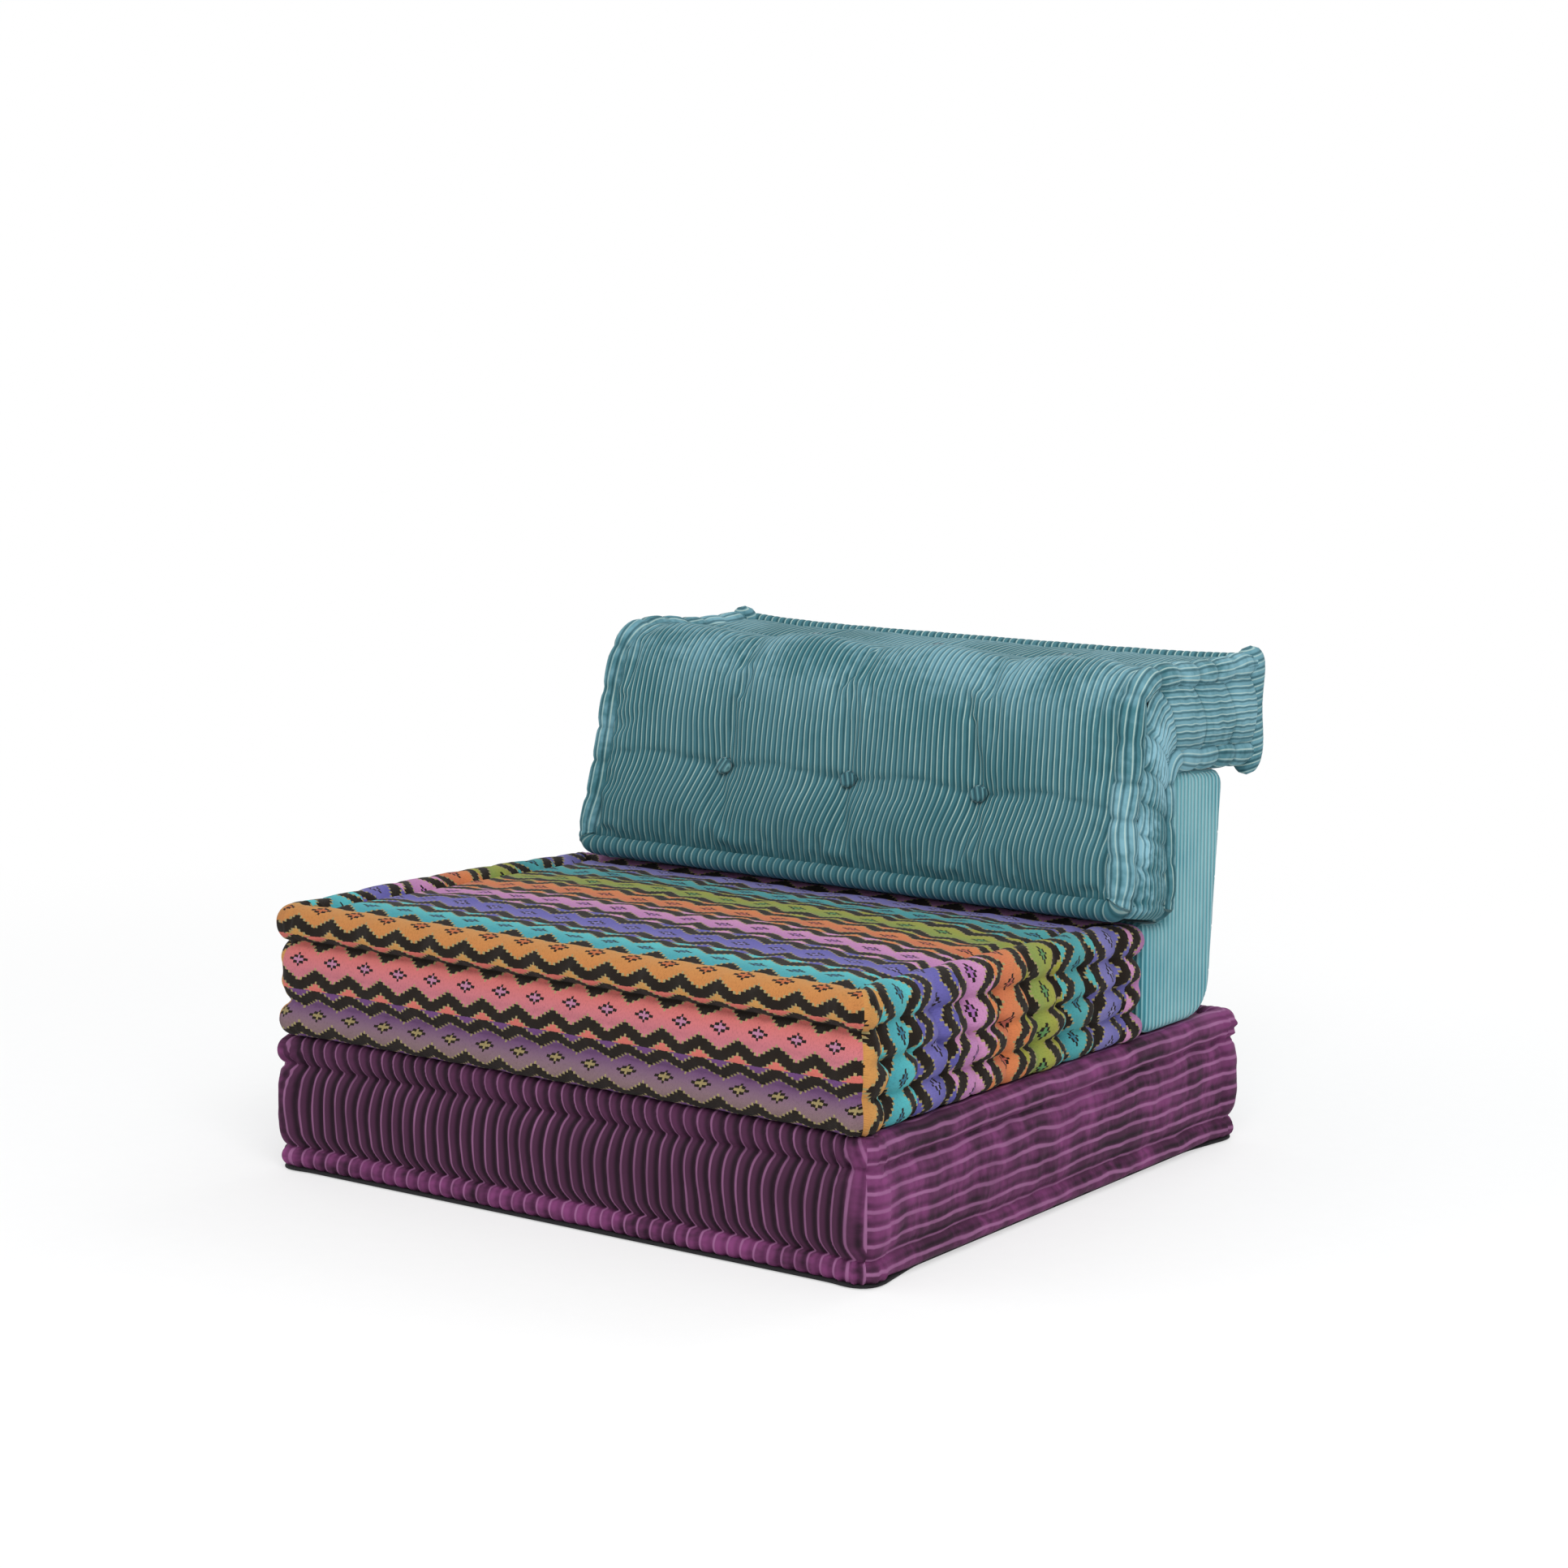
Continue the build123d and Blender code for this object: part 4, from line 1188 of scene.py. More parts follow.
@dataclass
class Seat:
    """The woven seat mattress: tufted sides, plump rolls and a crowned top. Sizes are in metres."""

    cushion: Cushion = field(default_factory=lambda: Cushion(
        width=0.940, depth=0.642, height=0.175, corner=0.050, top_roll=0.025, low_roll=0.022,
        middle_y=-0.124, floor=0.1813, drop=0.020, crease=0.013, belly=3.0, under=0.060,
    ))
    gathers: Gathers = Gathers(
        puff=0.013, puff_reach=0.028, pleat=0.0028, pleat_pitch=0.012, lip=0.0040, lip_at=0.007,
        lip_reach=0.011,
    )
    side_tufts: int = 8
    rear_tufts: int = 16
    crown: float = 0.009
    edge_step: float = 0.0042
    top_step: float = 0.005
    tuft: float = 0.0112
    tuft_reach: float = 0.0085
    row_shift: float = 0.30
    tuft_row: float = 0.0105
    tuft_row_reach: float = 0.0080
    pillow: float = 0.0050
    front_seam: float = 0.0034
    front_crease: float = 0.0060
    roll_bulge: float = 0.0022
    bulge_pitch: float = 0.057
    furthest_out: float = 0.018
    seam_flat: float = 0.012
    # Where the weave starts at the front, and how much of it the rolls take up.
    front_y: float = 0.445
    tucked: float = 0.04
    side_weave: float = 0.43
    lift_left: float = 0.007
    lift_right: float = 0.003

    def tufted(self, side: Side, travel: Array, section: Profile, loose: Array) -> Array:
        """How far in a side is drawn by two rows of tufts.

        Args:
            side: The side.
            travel: Distances along it.
            section: The edge's section.
            loose: 1 away from the corner seams.

        Returns:
            Distances inward.
        """
        count = self.side_tufts if side.facing.flank else self.rear_tufts
        arc = section.arc[:, None]
        middle = (section.low_crease + section.top_crease) / 2
        on_top, on_low = section.rolls()
        cell = (travel[None] - side.corner * pi / 4) / side.straight * count
        cell = cell + 0.10 * wander(travel[None], arc, 0.3, 23)
        cell = cell + self.row_shift * smooth(arc, middle - 0.01, middle + 0.01)
        seam = np.abs(cell - np.rint(cell)) * side.straight / count
        inside = smooth(cell, -0.3, 0.0) * (1 - smooth(cell, count, count + 0.3))
        pinch = self.tuft * inside * np.exp(-((seam / self.tuft_reach) ** 1.2))
        row = self.tuft_row * hump(arc, middle, self.tuft_row_reach)
        drawn = pinch * (1 - 0.35 * on_top - 0.35 * on_low) + row
        drawn = drawn * smooth(side.from_ends(travel), 0.0, 0.02)
        return drawn - (self.pillow * (1 - on_top) * (1 - on_low) - 0.0016) * loose

    def plain(self, side: Side, travel: Array, section: Profile, loose: Array) -> Array:
        """How far in the front is drawn by its middle seam and its top crease, between bulging rolls.

        Args:
            side: The side.
            travel: Distances along it.
            section: The edge's section.
            loose: 1 away from the corner seams.

        Returns:
            Distances inward.
        """
        arc = section.arc[:, None]
        middle = (section.low_crease + section.top_crease) / 2
        on_top, on_low = section.rolls()
        uneven = 0.75 + 0.25 * wander(travel[None], arc, 0.2, 24)
        seam = self.front_seam * hump(arc, middle, 0.0060) * uneven * loose
        wave = np.sin(travel[None] / self.bulge_pitch * FULL_TURN)
        bulge = self.roll_bulge * wave * (on_top + 0.4 * on_low)
        crease = self.front_crease * hump(arc, section.top_crease, 0.0060)
        return seam + bulge * loose + crease * smooth(side.from_ends(travel), 0.0, 0.03)

    def edge(self, side: Side, section: Profile) -> bpy.types.Object:
        """Sews the edge cloth of one side.

        Args:
            side: The side.
            section: The edge's section.

        Returns:
            The new piece.
        """
        cushion, facing = self.cushion, side.facing
        travel = steps(0, side.length, self.edge_step)
        arc, row, end = section.arc[:, None], travel[None], side.from_ends(travel)
        middle = (section.low_crease + section.top_crease) / 2
        loose = smooth(end, 0.0, self.seam_flat)
        inset = self.gathers.drawn(end, *section.rolls())
        inset = inset + (0.0014 * wander(row, arc, 0.075, 21) + 0.0007 * wander(row, arc, 0.022, 22)) * loose
        drawn = self.plain if facing is Facing.FRONT else self.tufted
        inset = inset + drawn(side, travel, section, loose)
        spots = cushion.swept(side, travel, section, np.maximum(inset, -self.furthest_out))
        if facing.flank:
            high = self.lift_left if facing is Facing.LEFT else self.lift_right
            along = np.sin(pi * np.clip(travel / side.length, 0, 1)) ** 0.6
            spots[..., 2] += high * along[None] * smooth(arc, middle, section.top_crease + 0.01)
        down, tucked = arc - section.end_crease, self.tucked
        if facing is Facing.FRONT:
            weave = woven(spots[..., 0], tucked + down)
        elif facing is Facing.REAR:
            weave = woven(spots[..., 0], cushion.depth - tucked - down)
        else:
            weave = woven(self.side_weave - down, spots[..., 1] + self.front_y)
        return Cloth(f"seat_edge_{facing.name.lower()}", spots, weave).make(cushion.core)

    def top(self) -> bpy.types.Object:
        """Sews the crowned top panel."""
        cushion, step = self.cushion, self.top_step
        half_x, half_y = cushion.width / 2 - 0.035, cushion.depth / 2 - 0.035
        places_x, places_y = steps(-half_x, half_x, step), steps(-half_y, half_y, step)
        spots, away = cushion.top_grid(places_x, places_y, rise=0.009, crown=self.crown, reach=0.2)
        x, y = spots[..., 0], spots[..., 1]
        uneven = 0.0016 * wander(x, y, 0.16, 25) + 0.0008 * wander(x, y, 0.05, 26)
        spots[..., 2] += (uneven - 0.0015) * smooth(away, 0.0, 0.03)
        return Cloth("seat_top", spots, woven(x, y + self.front_y)).make(cushion.core)

    def bottom(self) -> bpy.types.Object:
        """Sews the plain bottom panel."""
        cushion, step = self.cushion, 4 * self.top_step
        half_x, half_y = cushion.width / 2 - 0.030, cushion.depth / 2 - 0.030
        x, y = np.meshgrid(steps(-half_x, half_x, step), steps(-half_y, half_y, step))
        spots = np.stack([x, y + cushion.middle_y, np.full_like(x, cushion.floor + 0.0008)], axis=-1)
        return Cloth("seat_bottom", spots, woven(x, y + 0.3)).make(cushion.core)

    def build(self, finish: bpy.types.Material) -> None:
        """Makes the seat's cloth and fixes it to the seat."""
        section = self.cushion.profile(0.0036)
        parts = [self.edge(side, section) for side in self.cushion.sides()]
        cover = sewn("seat_woven_cover", parts + [self.top(), self.bottom()])
        dress(cover, finish, "seat", stands_for=("seat_cover",))


@dataclass(frozen=True)
class FoldLine:
    """A surface of the folded mattress from its side: it climbs, bends, and runs to the rear."""

    low: tuple[float, float]
    lean: float
    rear: tuple[float, float]
    fall: float
    radius: float

    @property
    def climb(self) -> Array:
        """The climbing direction."""
        return np.array([sin(self.lean), cos(self.lean)])

    @property
    def run(self) -> Array:
        """The rearward direction."""
        return np.array([cos(self.fall), -sin(self.fall)])

    @property
    def turn(self) -> float:
        """How far the line bends, in radians."""
        return pi / 2 - self.lean + self.fall

    def corners(self) -> tuple[Array, Array, Array]:
        """The end of the climb, the start of the run, and the centre of the bend."""
        low, rear = np.array(self.low), np.array(self.rear)
        travel = np.linalg.solve(np.stack([self.climb, -self.run], axis=1), rear - low)
        knee = low + self.climb * travel[0]
        tangent = self.radius * tan(self.turn / 2)
        end = knee - self.climb * tangent
        return end, knee + self.run * tangent, end + self.inward(0.0) * self.radius

    def inward(self, turned: Array | float) -> Array:
        """The direction to the inner side after turning."""
        angle = self.lean + np.asarray(turned)
        return np.stack([np.cos(angle), -np.sin(angle)], axis=-1)

    def lengths(self) -> tuple[float, float, float]:
        """The lengths of climb, bend and run."""
        end, start, _ = self.corners()
        return (
            float(np.linalg.norm(end - np.array(self.low))), self.radius * self.turn,
            float(np.linalg.norm(np.array(self.rear) - start)),
        )

    @property
    def marks(self) -> Array:
        """Where the climb, the bend and the run start and end, from the low end."""
        return np.cumsum([0.0, *self.lengths()])

    def moved_in(self, distance: float) -> "FoldLine":
        """The same line further towards the inner side.

        Args:
            distance: How far, in metres.

        Returns:
            The new line.
        """
        low = np.array(self.low) + self.inward(0.0) * distance
        rear = np.array(self.rear) + self.inward(self.turn) * distance
        return FoldLine(tuple(low), self.lean, tuple(rear), self.fall, self.radius - distance)

    def at(self, travel: Array) -> tuple[Array, Array]:
        """Points at distances from the low end, and the outward normals there.

        Args:
            travel: Distances, in metres.

        Returns:
            The points and the normals.
        """
        climb, bend, _ = self.lengths()
        _, _, centre = self.corners()
        turned = np.clip((travel - climb) / self.radius, 0, self.turn)
        points = centre - self.inward(turned) * self.radius
        points = points + self.climb * np.minimum(travel - climb, 0)[..., None]
        points = points + self.run * np.maximum(travel - climb - bend, 0)[..., None]
        return points, -self.inward(turned)


@dataclass
class Back:
    """The folded back mattress: face, flanks, ends, rolls and folded corners. Sizes are in metres."""

    half: float = 0.444
    shift: float = 0.030
    roll: float = 0.016
    corner: float = 0.032
    rib_pitch: float = 0.0087
    roll_pitch: float = 0.0116
    groove: float = 0.0005
    climb_stitches: int = 5
    run_stitches: int = 3
    buttons: tuple[float, ...] = (-0.210, 0.0, 0.210)
    # The fold's two surfaces as seen from the side; ends are measured from the sofa's front.
    front: float = -0.445
    low_end: tuple[float, float] = (0.560, 0.350)
    rear_end: tuple[float, float] = (0.978, 0.656)
    low_thickness: float = 0.141
    rear_thickness: float = 0.152
    leans: tuple[float, float] = (12.0, 5.5)
    inner_fall: float = 5.0
    bend_radii: tuple[float, float] = (0.062, 0.010)
    # The face: how much of its crown is there unfilled, its ridge at the bend, and its dips.
    unfilled: float = 0.35
    crown: float = 0.0080
    ridge: float = 0.014
    row_dip: float = 0.0065
    button_dip: float = 0.0080
    deepest: float = 0.0112
    face_step: float = 0.005
    # The flanks between the rolls, the rolls, and the folded corner that hides the flank's rear end.
    flank_step: float = 0.0035
    flank_cells: int = 34
    stitch: float = 0.0095
    flank_puff: float = 0.007
    flank_end: float = 0.034
    roll_ribs: int = 10
    side_full: float = 0.25
    knot: float = 0.0036
    knot_pitch: float = 0.050
    ear_width: float = 0.0205
    ear_inset: float = 0.0185
    ear_pleats: int = 17
    # How the mattress rests on its block.
    rear_sag: float = 0.0025
    rear_corner_lift: float = 0.007
    rear_forward: float = 0.014
    bend_fill: float = 0.010
    left_bend_fill: float = 0.007
    low_spread: float = 0.026
    bend_narrows: float = 0.014
    outer: FoldLine = field(init=False)
    inner: FoldLine = field(init=False)

    def __post_init__(self) -> None:
        """Works out both surfaces of the fold."""
        low = (self.front + self.low_end[0], self.low_end[1])
        lean = radians(sum(self.leans) / 2)
        low_in = (low[0] + cos(lean) * self.low_thickness, low[1] - sin(lean) * self.low_thickness)
        rear = (self.front + self.rear_end[0], self.rear_end[1])
        rear_in = (rear[0], rear[1] - self.rear_thickness)
        outer_lean, inner_lean = (radians(angle) for angle in self.leans)
        self.outer = FoldLine(low, outer_lean, rear, 0.0, self.bend_radii[0])
        self.inner = FoldLine(low_in, inner_lean, rear_in, radians(self.inner_fall), self.bend_radii[1])

    @property
    def core(self) -> Vector:
        """A point inside the bend."""
        points, _ = self.outer.at(np.array([sum(self.outer.lengths()[:2])]))
        return Vector((0, points[0][0] + 0.02, points[0][1] - 0.08))

    @property
    def total(self) -> float:
        """The length of the outer surface."""
        return sum(self.outer.lengths())

    def rows(self) -> tuple[float, float]:
        """How far along the outer surface each row of buttons is."""
        climb, bend, run = self.outer.lengths()
        cut = self.cut
        return cut + (climb - cut) * 0.5, climb + bend + (run - cut) * 0.5

    @property
    def cut(self) -> float:
        """How much of a face's edge its roll takes up."""
        return 2 * self.roll

    def from_seam(self, x: Array, v: Array, total: float) -> Array:
        """How far places on a face are from the seam round it.

        Args:
            x: Places across.
            v: Places along the surface.
            total: The surface's length.

        Returns:
            Distances.
        """
        tuck = self.tuck
        return np.minimum(np.minimum(self.half - tuck - np.abs(x), v - tuck), total - tuck - v)

    def field_form(self, x: Array, v: Array, fullness: float) -> Array:
        """The face's form without its ribs.

        Args:
            x: Places across.
            v: Places along the outer surface.
            fullness: How much of the crown is there before the filling swells it.

        Returns:
            The points.
        """
        away = self.from_seam(x, v, self.total)
        climb, bend, _ = self.outer.lengths()
        height = self.crown * fullness * self.plump(v) * smooth(away, 0.0, 0.09)
        height = height - 0.006 * (1 - smooth(away, 0, 0.020))
        between = 1 - 0.7 * sum(hump(x, button, 0.055) for button in self.buttons)
        on_ridge = hump(v, climb + bend * 0.95, 0.052) * smooth(away, 0.0, 0.06)
        height = height + self.ridge * on_ridge * between
        height = height - 0.0045 * smooth(v, climb + bend * 1.5, climb + bend * 2.2)
        for row in self.rows():
            height = height - self.row_dip * hump(v, row, 0.052) * smooth(away, 0.0, 0.05)
            for button in self.buttons:
                far = np.hypot(x - button, v - row)
                height = height - self.button_dip * np.exp(-((far / 0.026) ** 1.25))
        points, normal = self.outer.at(v)
        return placed(x, points + normal * np.maximum(height, -self.deepest)[..., None])

    @property
    def tuck(self) -> float:
        """How far in from the edge the face is sewn to its roll."""
        return 1.7 * self.roll

    def plump(self, v: Array) -> Array:
        """How full the mattress is along the outer surface: the run to the rear is pressed flatter."""
        climb, bend, _ = self.outer.lengths()
        return 1 - 0.65 * smooth(v, climb, climb + bend * 1.3)

    def swelled(self) -> Array:
        """How far the filling moves the face, on a coarse grid."""
        x = np.linspace(self.tuck - self.half, self.half - self.tuck, 85)
        v = np.linspace(self.tuck, self.total - self.tuck, 61)
        grid_x, grid_v = np.meshgrid(x, v)
        near = np.full(grid_x.shape, 1.0)
        for row in self.rows():
            for button in self.buttons:
                near = np.minimum(near, np.hypot(grid_x - button, grid_v - row))
        held = near < 0.009
        held[0] = held[-1] = held[:, 0] = held[:, -1] = True
        filling = Filling("back_filling", self.core, pressure=5.0, reach=0.011, slack=0.03)
        filling.add(self.field_form(grid_x, grid_v, self.unfilled), held)
        inner, _ = self.inner.at(np.interp(v, self.outer.marks, self.inner.marks))
        lining = placed(grid_x, np.broadcast_to(inner[:, None], (*grid_x.shape, 2)))
        filling.add(lining, np.ones(grid_x.shape))
        return filling.settle()[0]

    def button_folds(self, x: Array, v: Array, row: float) -> tuple[Array, Array]:
        """How the cloth folds round the buttons of one row, and how they draw it in.

        Args:
            x: Places across.
            v: Places along the outer surface.
            row: Where the row is.

        Returns:
            Heights, and how far each place is drawn, across and along.
        """
        height, drawn = np.zeros_like(x), np.zeros((2, *x.shape))
        for button in self.buttons:
            far = np.hypot(x - button, v - row)
            angle = np.arctan2(v - row, x - button)
            height += 0.0009 * np.cos(angle * 5 + 3 * button) * np.exp(-(((far - 0.026) / 0.022) ** 2))
            draw = 0.16 * np.exp(-((far / 0.045) ** 2))
            drawn += np.stack([x - button, (v - row) * 0.6]) * draw
        return height, drawn

    def face(self) -> bpy.types.Object:
        """Sews the buttoned face that climbs, bends and runs to the rear."""
        climb, bend, _ = self.outer.lengths()
        tuck = self.tuck
        across_at = steps(tuck - self.half, self.half - tuck, self.rib_pitch / 6)
        along_at = steps(tuck, self.total - tuck, self.face_step)
        x, v = np.meshgrid(across_at, along_at)
        away = self.from_seam(x, v, self.total)
        free = smooth(away, 0.0, 0.03)
        height = 0.0010 * wander(x, v, 0.13, 31) * free + 0.0005 * wander(x, v, 0.05, 32) * free
        pulled = np.stack([x, v])
        # Painted shade at the seam round the face, and below in each row's crease.
        dark = np.exp(-away / 0.0045)
        near = np.minimum.reduce([np.abs(x - button) for button in self.buttons])
        gap = self.buttons[-1]
        for row, depth in zip(self.rows(), (1.0, 0.9)):
            sag = 0.010 * np.sin(pi * np.clip((x + gap) / gap, -2, 4)) ** 2
            crease_at = row + sag * depth + 0.002 * wander(x, 0 * x, 0.2, 33)
            reach = 1 - 0.45 * smooth(near, 0.03, 0.10)
            height = height - depth * 0.0034 * np.exp(-np.abs(v - crease_at) / 0.0035) * reach * free
            dark = np.maximum(dark, 0.8 * depth * np.exp(-np.abs(v - crease_at) / 0.0026))
            under = smooth(crease_at - v, 0.0, 0.085) * (1 - smooth(crease_at - v, 0.10, 0.20) * 0.2)
            folds, drawn = self.button_folds(x, v, row)
            height, pulled = height + folds, pulled + drawn
            pulled[0] += 0.016 * under * (row < climb)
        second = climb * 0.86 + 0.006 * wander(x, 0 * x, 0.4, 34)
        seen = smooth(wander(x, 0 * x, 0.35, 30), -0.6, 0.4) * free
        height = height - 0.0008 * np.exp(-np.abs(v - second) / 0.003) * seen
        across = pulled[0] / self.rib_pitch + 0.5
        height = height - self.groove * (1 - ribs(across))
        spots = self.field_form(x, v, self.unfilled)
        shares = [np.linspace(0, 1, len(places)) for places in (along_at, across_at)]
        swell = resampled(self.swelled(), *shares)
        spots = spots + swell * self.plump(v)[..., None]
        # Painted light and crushed pile: lighter over the bend and the run to the rear.
        crush_and_light = 0.10 + 0.50 * hump(v, climb + bend * 0.62, 0.055)
        crush_and_light = crush_and_light + 0.25 * smooth(v, climb + bend, climb + bend + 0.1)
        # Painted shade: darker towards the low end, at the seams and in the creases.
        painted_shade = np.clip(0.34 * (1 - smooth(v, 0.02, 0.20)) + 0.06 + 0.75 * dark, 0, 0.9)
        cloth = Cloth("back_face", spots, woven(across, pulled[1]), crush_and_light, painted_shade)
        return cloth.raised(height, self.core).make(self.core)

    def flank(self, hand: int) -> bpy.types.Object:
        """Sews the stitched strip between the rolls at the left or right.

        Args:
            hand: 1 at the right, -1 at the left.

        Returns:
            The new piece.
        """
        climb, bend, run = self.outer.lengths()
        length = steps(0.006, self.total - self.flank_end + 0.004, self.flank_step)
        travel = np.interp(length, self.outer.marks, range(4))
        lines = (self.outer, self.inner)
        near, far = (line.at(np.interp(travel, range(4), line.marks))[0] for line in lines)
        thickness = np.linalg.norm(near - far, axis=-1)
        unit = (near - far) / thickness[:, None]
        seam = 1.75 * self.roll
        share = np.linspace(0, 1, self.flank_cells)[:, None]
        level = seam + (thickness[None] - 2 * seam) * share
        spread = np.abs(2 * share - 1)
        inset = 0.011 * spread ** 2.5 - self.flank_puff
        inset = inset + 0.0012 * wander(length[None], level, 0.05, 35 + hand)
        # Painted shade along the seams with the rolls.
        dark = np.exp(-np.minimum(share, 1 - share) * 8) * 0.25 * np.ones_like(level)
        stretches = (
            (self.cut, climb - self.cut, self.climb_stitches),
            (climb + bend, run - self.cut, self.run_stitches),
        )
        for start, stretch, cells in stretches:
            cell = (length - start) / stretch * cells
            crease = np.abs(cell - np.rint(cell)) * stretch / cells
            inside = (cell > -0.2) & (cell < cells + 0.2)
            pinch = np.where(inside, np.exp(-((crease / 0.0065) ** 1.15)), 0)[None]
            inset = inset + self.stitch * pinch * (0.30 + 0.70 * spread ** 2)
            # Painted shade in the stitched pinches.
            pinch_shade = np.where(inside, np.exp(-crease / 0.0022), 0)[None]
            dark = np.maximum(dark, 0.85 * pinch_shade * (0.3 + 0.7 * spread))
        inset = inset + 0.006 * hump(travel[None], 1.5, 0.42) * (1 - share) ** 1.5
        inset = inset + self.rounding(np.minimum(length, self.total - length))[None]
        tucked = smooth(length, self.total - self.flank_end - 0.024, self.total - self.flank_end)
        count = level / self.rib_pitch + 0.10 * wander(length[None], level, 0.04, 38)
        inset = inset + 0.020 * tucked[None] + self.groove * (1 - ribs(count))
        place = far[None] + unit[None] * level[..., None]
        # Painted light and crushed pile: the strip is lighter than the face, less so on the run to the rear.
        crush_and_light = np.clip(1.3 + 0.3 * wander(length[None], level, 0.06, 39), 0, 1.5)
        crush_and_light = crush_and_light * (1 - 0.55 * smooth(travel[None], 1.0, 2.0))
        spots, weave = placed(hand * (self.half - inset), place), woven(count, length[None])
        return Cloth(f"back_flank_{HANDS[hand]}", spots, weave, crush_and_light, dark).make(self.core)

    def rounding(self, away: Array) -> Array:
        """How far in a strip lies at a distance from a corner of the mattress."""
        short = np.clip(self.corner - away, 0, self.corner)
        return self.corner - np.sqrt(self.corner ** 2 - short ** 2)

    def end(self, at_rear: bool) -> bpy.types.Object:
        """Sews the narrow strip at the low or the rear end.

        Args:
            at_rear: Whether it is the rear end.

        Returns:
            The new piece.
        """
        line, inner = self.outer, self.inner
        if at_rear:
            inset, short, way = 0.020, 0.018, line.run
            near, far = np.array(line.rear) - line.run * inset, np.array(inner.rear) - inner.run * inset
        else:
            inset, short, way = 0.009, 0.005, -line.climb
            near, far = np.array(line.low) + line.climb * inset, np.array(inner.low) + inner.climb * inset
        thickness = float(np.linalg.norm(near - far))
        unit = (near - far) / thickness
        seam = self.tuck
        across_at = steps(-self.half + short, self.half - short, self.rib_pitch / 6)
        x, level = np.meshgrid(across_at, steps(seam, thickness - seam, self.face_step))
        across = x / self.rib_pitch + 0.5 + 0.05 * wander(x, level, 0.2, 41)
        full = 0.004 * np.sin(pi * (level - seam) / (thickness - 2 * seam))
        full = np.minimum(full + 0.0009 * wander(x, level, 0.07, 42), 0.006)
        height = full - self.groove * (1 - ribs(across)) - self.rounding(self.half - np.abs(x))
        spots = placed(x, far + unit * level[..., None] + way * height[..., None])
        core = Vector((0, *((near + far) / 2 - way * 0.05)))
        return Cloth("back_end", spots, woven(across, level), crush_and_light=0.2).make(core)

    def lining(self) -> bpy.types.Object:
        """Sews the inner face that lies against the block."""
        total, tuck = sum(self.inner.lengths()), self.tuck
        reach = self.half - tuck
        x, v = np.meshgrid(steps(-reach, reach, self.rib_pitch / 4), steps(tuck, total - tuck, 0.008))
        across = x / self.rib_pitch + 0.5
        at_seam = 1 - smooth(self.from_seam(x, v, total), 0, 0.02)
        height = 0.0008 + 0.005 * at_seam + 0.001 * (1 - ribs(across))
        points, normal = self.inner.at(v)
        spots = placed(x, points + normal * height[..., None])
        core = Vector((0, self.outer.corners()[0][0], self.outer.corners()[1][1]))
        return Cloth("back_lining", spots, woven(across, v), crush_and_light=0.1).make(core)

    def roll_path(self, line: FoldLine, sign: int) -> tuple[Array, Array, Array, Array]:
        """Walks once round a roll.

        Args:
            line: The surface that the roll edges.
            sign: 1 on the outer surface, -1 on the inner.

        Returns:
            Centre points, outward surface normals, distances, and 1 where the roll crosses the ribs.
        """
        core = line.moved_in(sign * self.roll)
        total = sum(core.lengths())
        half, low, high = self.half - self.roll, self.roll, total - self.roll
        turn = self.corner - self.roll
        quarter = np.linspace(0, pi / 2, 13)[1:-1]
        front = steps(-half + turn, half - turn, self.roll_pitch / 6)
        side = steps(low + turn, high - turn, 0.006)
        right = np.concatenate([
            woven(half - turn + turn * np.sin(quarter), low + turn - turn * np.cos(quarter)),
            woven(half, side),
            woven(half - turn + turn * np.cos(quarter), high - turn + turn * np.sin(quarter)),
        ])
        left = right[::-1] * np.array([-1, 1])
        flat = np.concatenate([woven(front, low), right, woven(front[::-1], high), left, [[front[0], low]]])
        points, normal = core.at(flat[:, 1])
        centres = placed(flat[:, 0], points)
        normals = placed(np.zeros(len(flat)), normal * sign)
        distance = np.concatenate([[0], np.cumsum(np.linalg.norm(np.diff(centres, axis=0), axis=1))])
        edge = np.minimum(flat[:, 1] - low, high - flat[:, 1])
        crossing = 1 - smooth(edge, turn * 0.35, turn * 0.8)
        return centres, normals, distance, crossing

    def edging(self, name: str, line: FoldLine, sign: int) -> bpy.types.Object:
        """Sews one of the two rolls.

        Args:
            name: The piece's name.
            line: The surface that it edges.
            sign: 1 on the outer surface, -1 on the inner.

        Returns:
            The new piece.
        """
        centres, normals, distance, crossing = self.roll_path(line, sign)
        tangent = np.gradient(centres, axis=0)
        tangent[0] = tangent[-1] = centres[1] - centres[-2]
        tangent /= np.linalg.norm(tangent, axis=-1, keepdims=True)
        out = np.cross(tangent, normals)
        out /= np.linalg.norm(out, axis=-1, keepdims=True)
        turn = np.linspace(0, FULL_TURN, 37)[:, None]
        crossing, travel, girth = crossing[None], distance[None], turn * self.roll
        side = smooth(1 - crossing, 0.6, 1.0)
        radius = self.roll * (1 + self.side_full * side - 0.02 * wander(travel, girth, 0.06, 51)) - 0.0002
        centres = centres - np.sign(centres) * np.array([0.0025, 0, 0]) * side[0][:, None]
        over = centres[None, :, 0] / self.roll_pitch + 0.5 + 0.35 * np.sin(turn)
        over = over + 0.08 * wander(travel, girth, 0.05, 52)
        ring = turn / FULL_TURN * self.roll_ribs + 0.3 * wander(travel, girth, 0.12, 53)
        relief = self.groove * (1.8 * (1 - ribs(over)) * crossing + 0.6 * (1 - ribs(ring)) * (1 - crossing))
        cell = travel / self.knot_pitch
        apart = np.abs(cell - np.rint(cell)) * self.knot_pitch
        knots = self.knot * np.exp(-((apart / 0.006) ** 1.3)) * side
        pleat = 0.0016 * np.sin(travel / 0.0075 * FULL_TURN) * 4 * crossing * (1 - crossing)
        radius = (radius - relief - knots + pleat)[..., None]
        turn_in = turn[..., None]
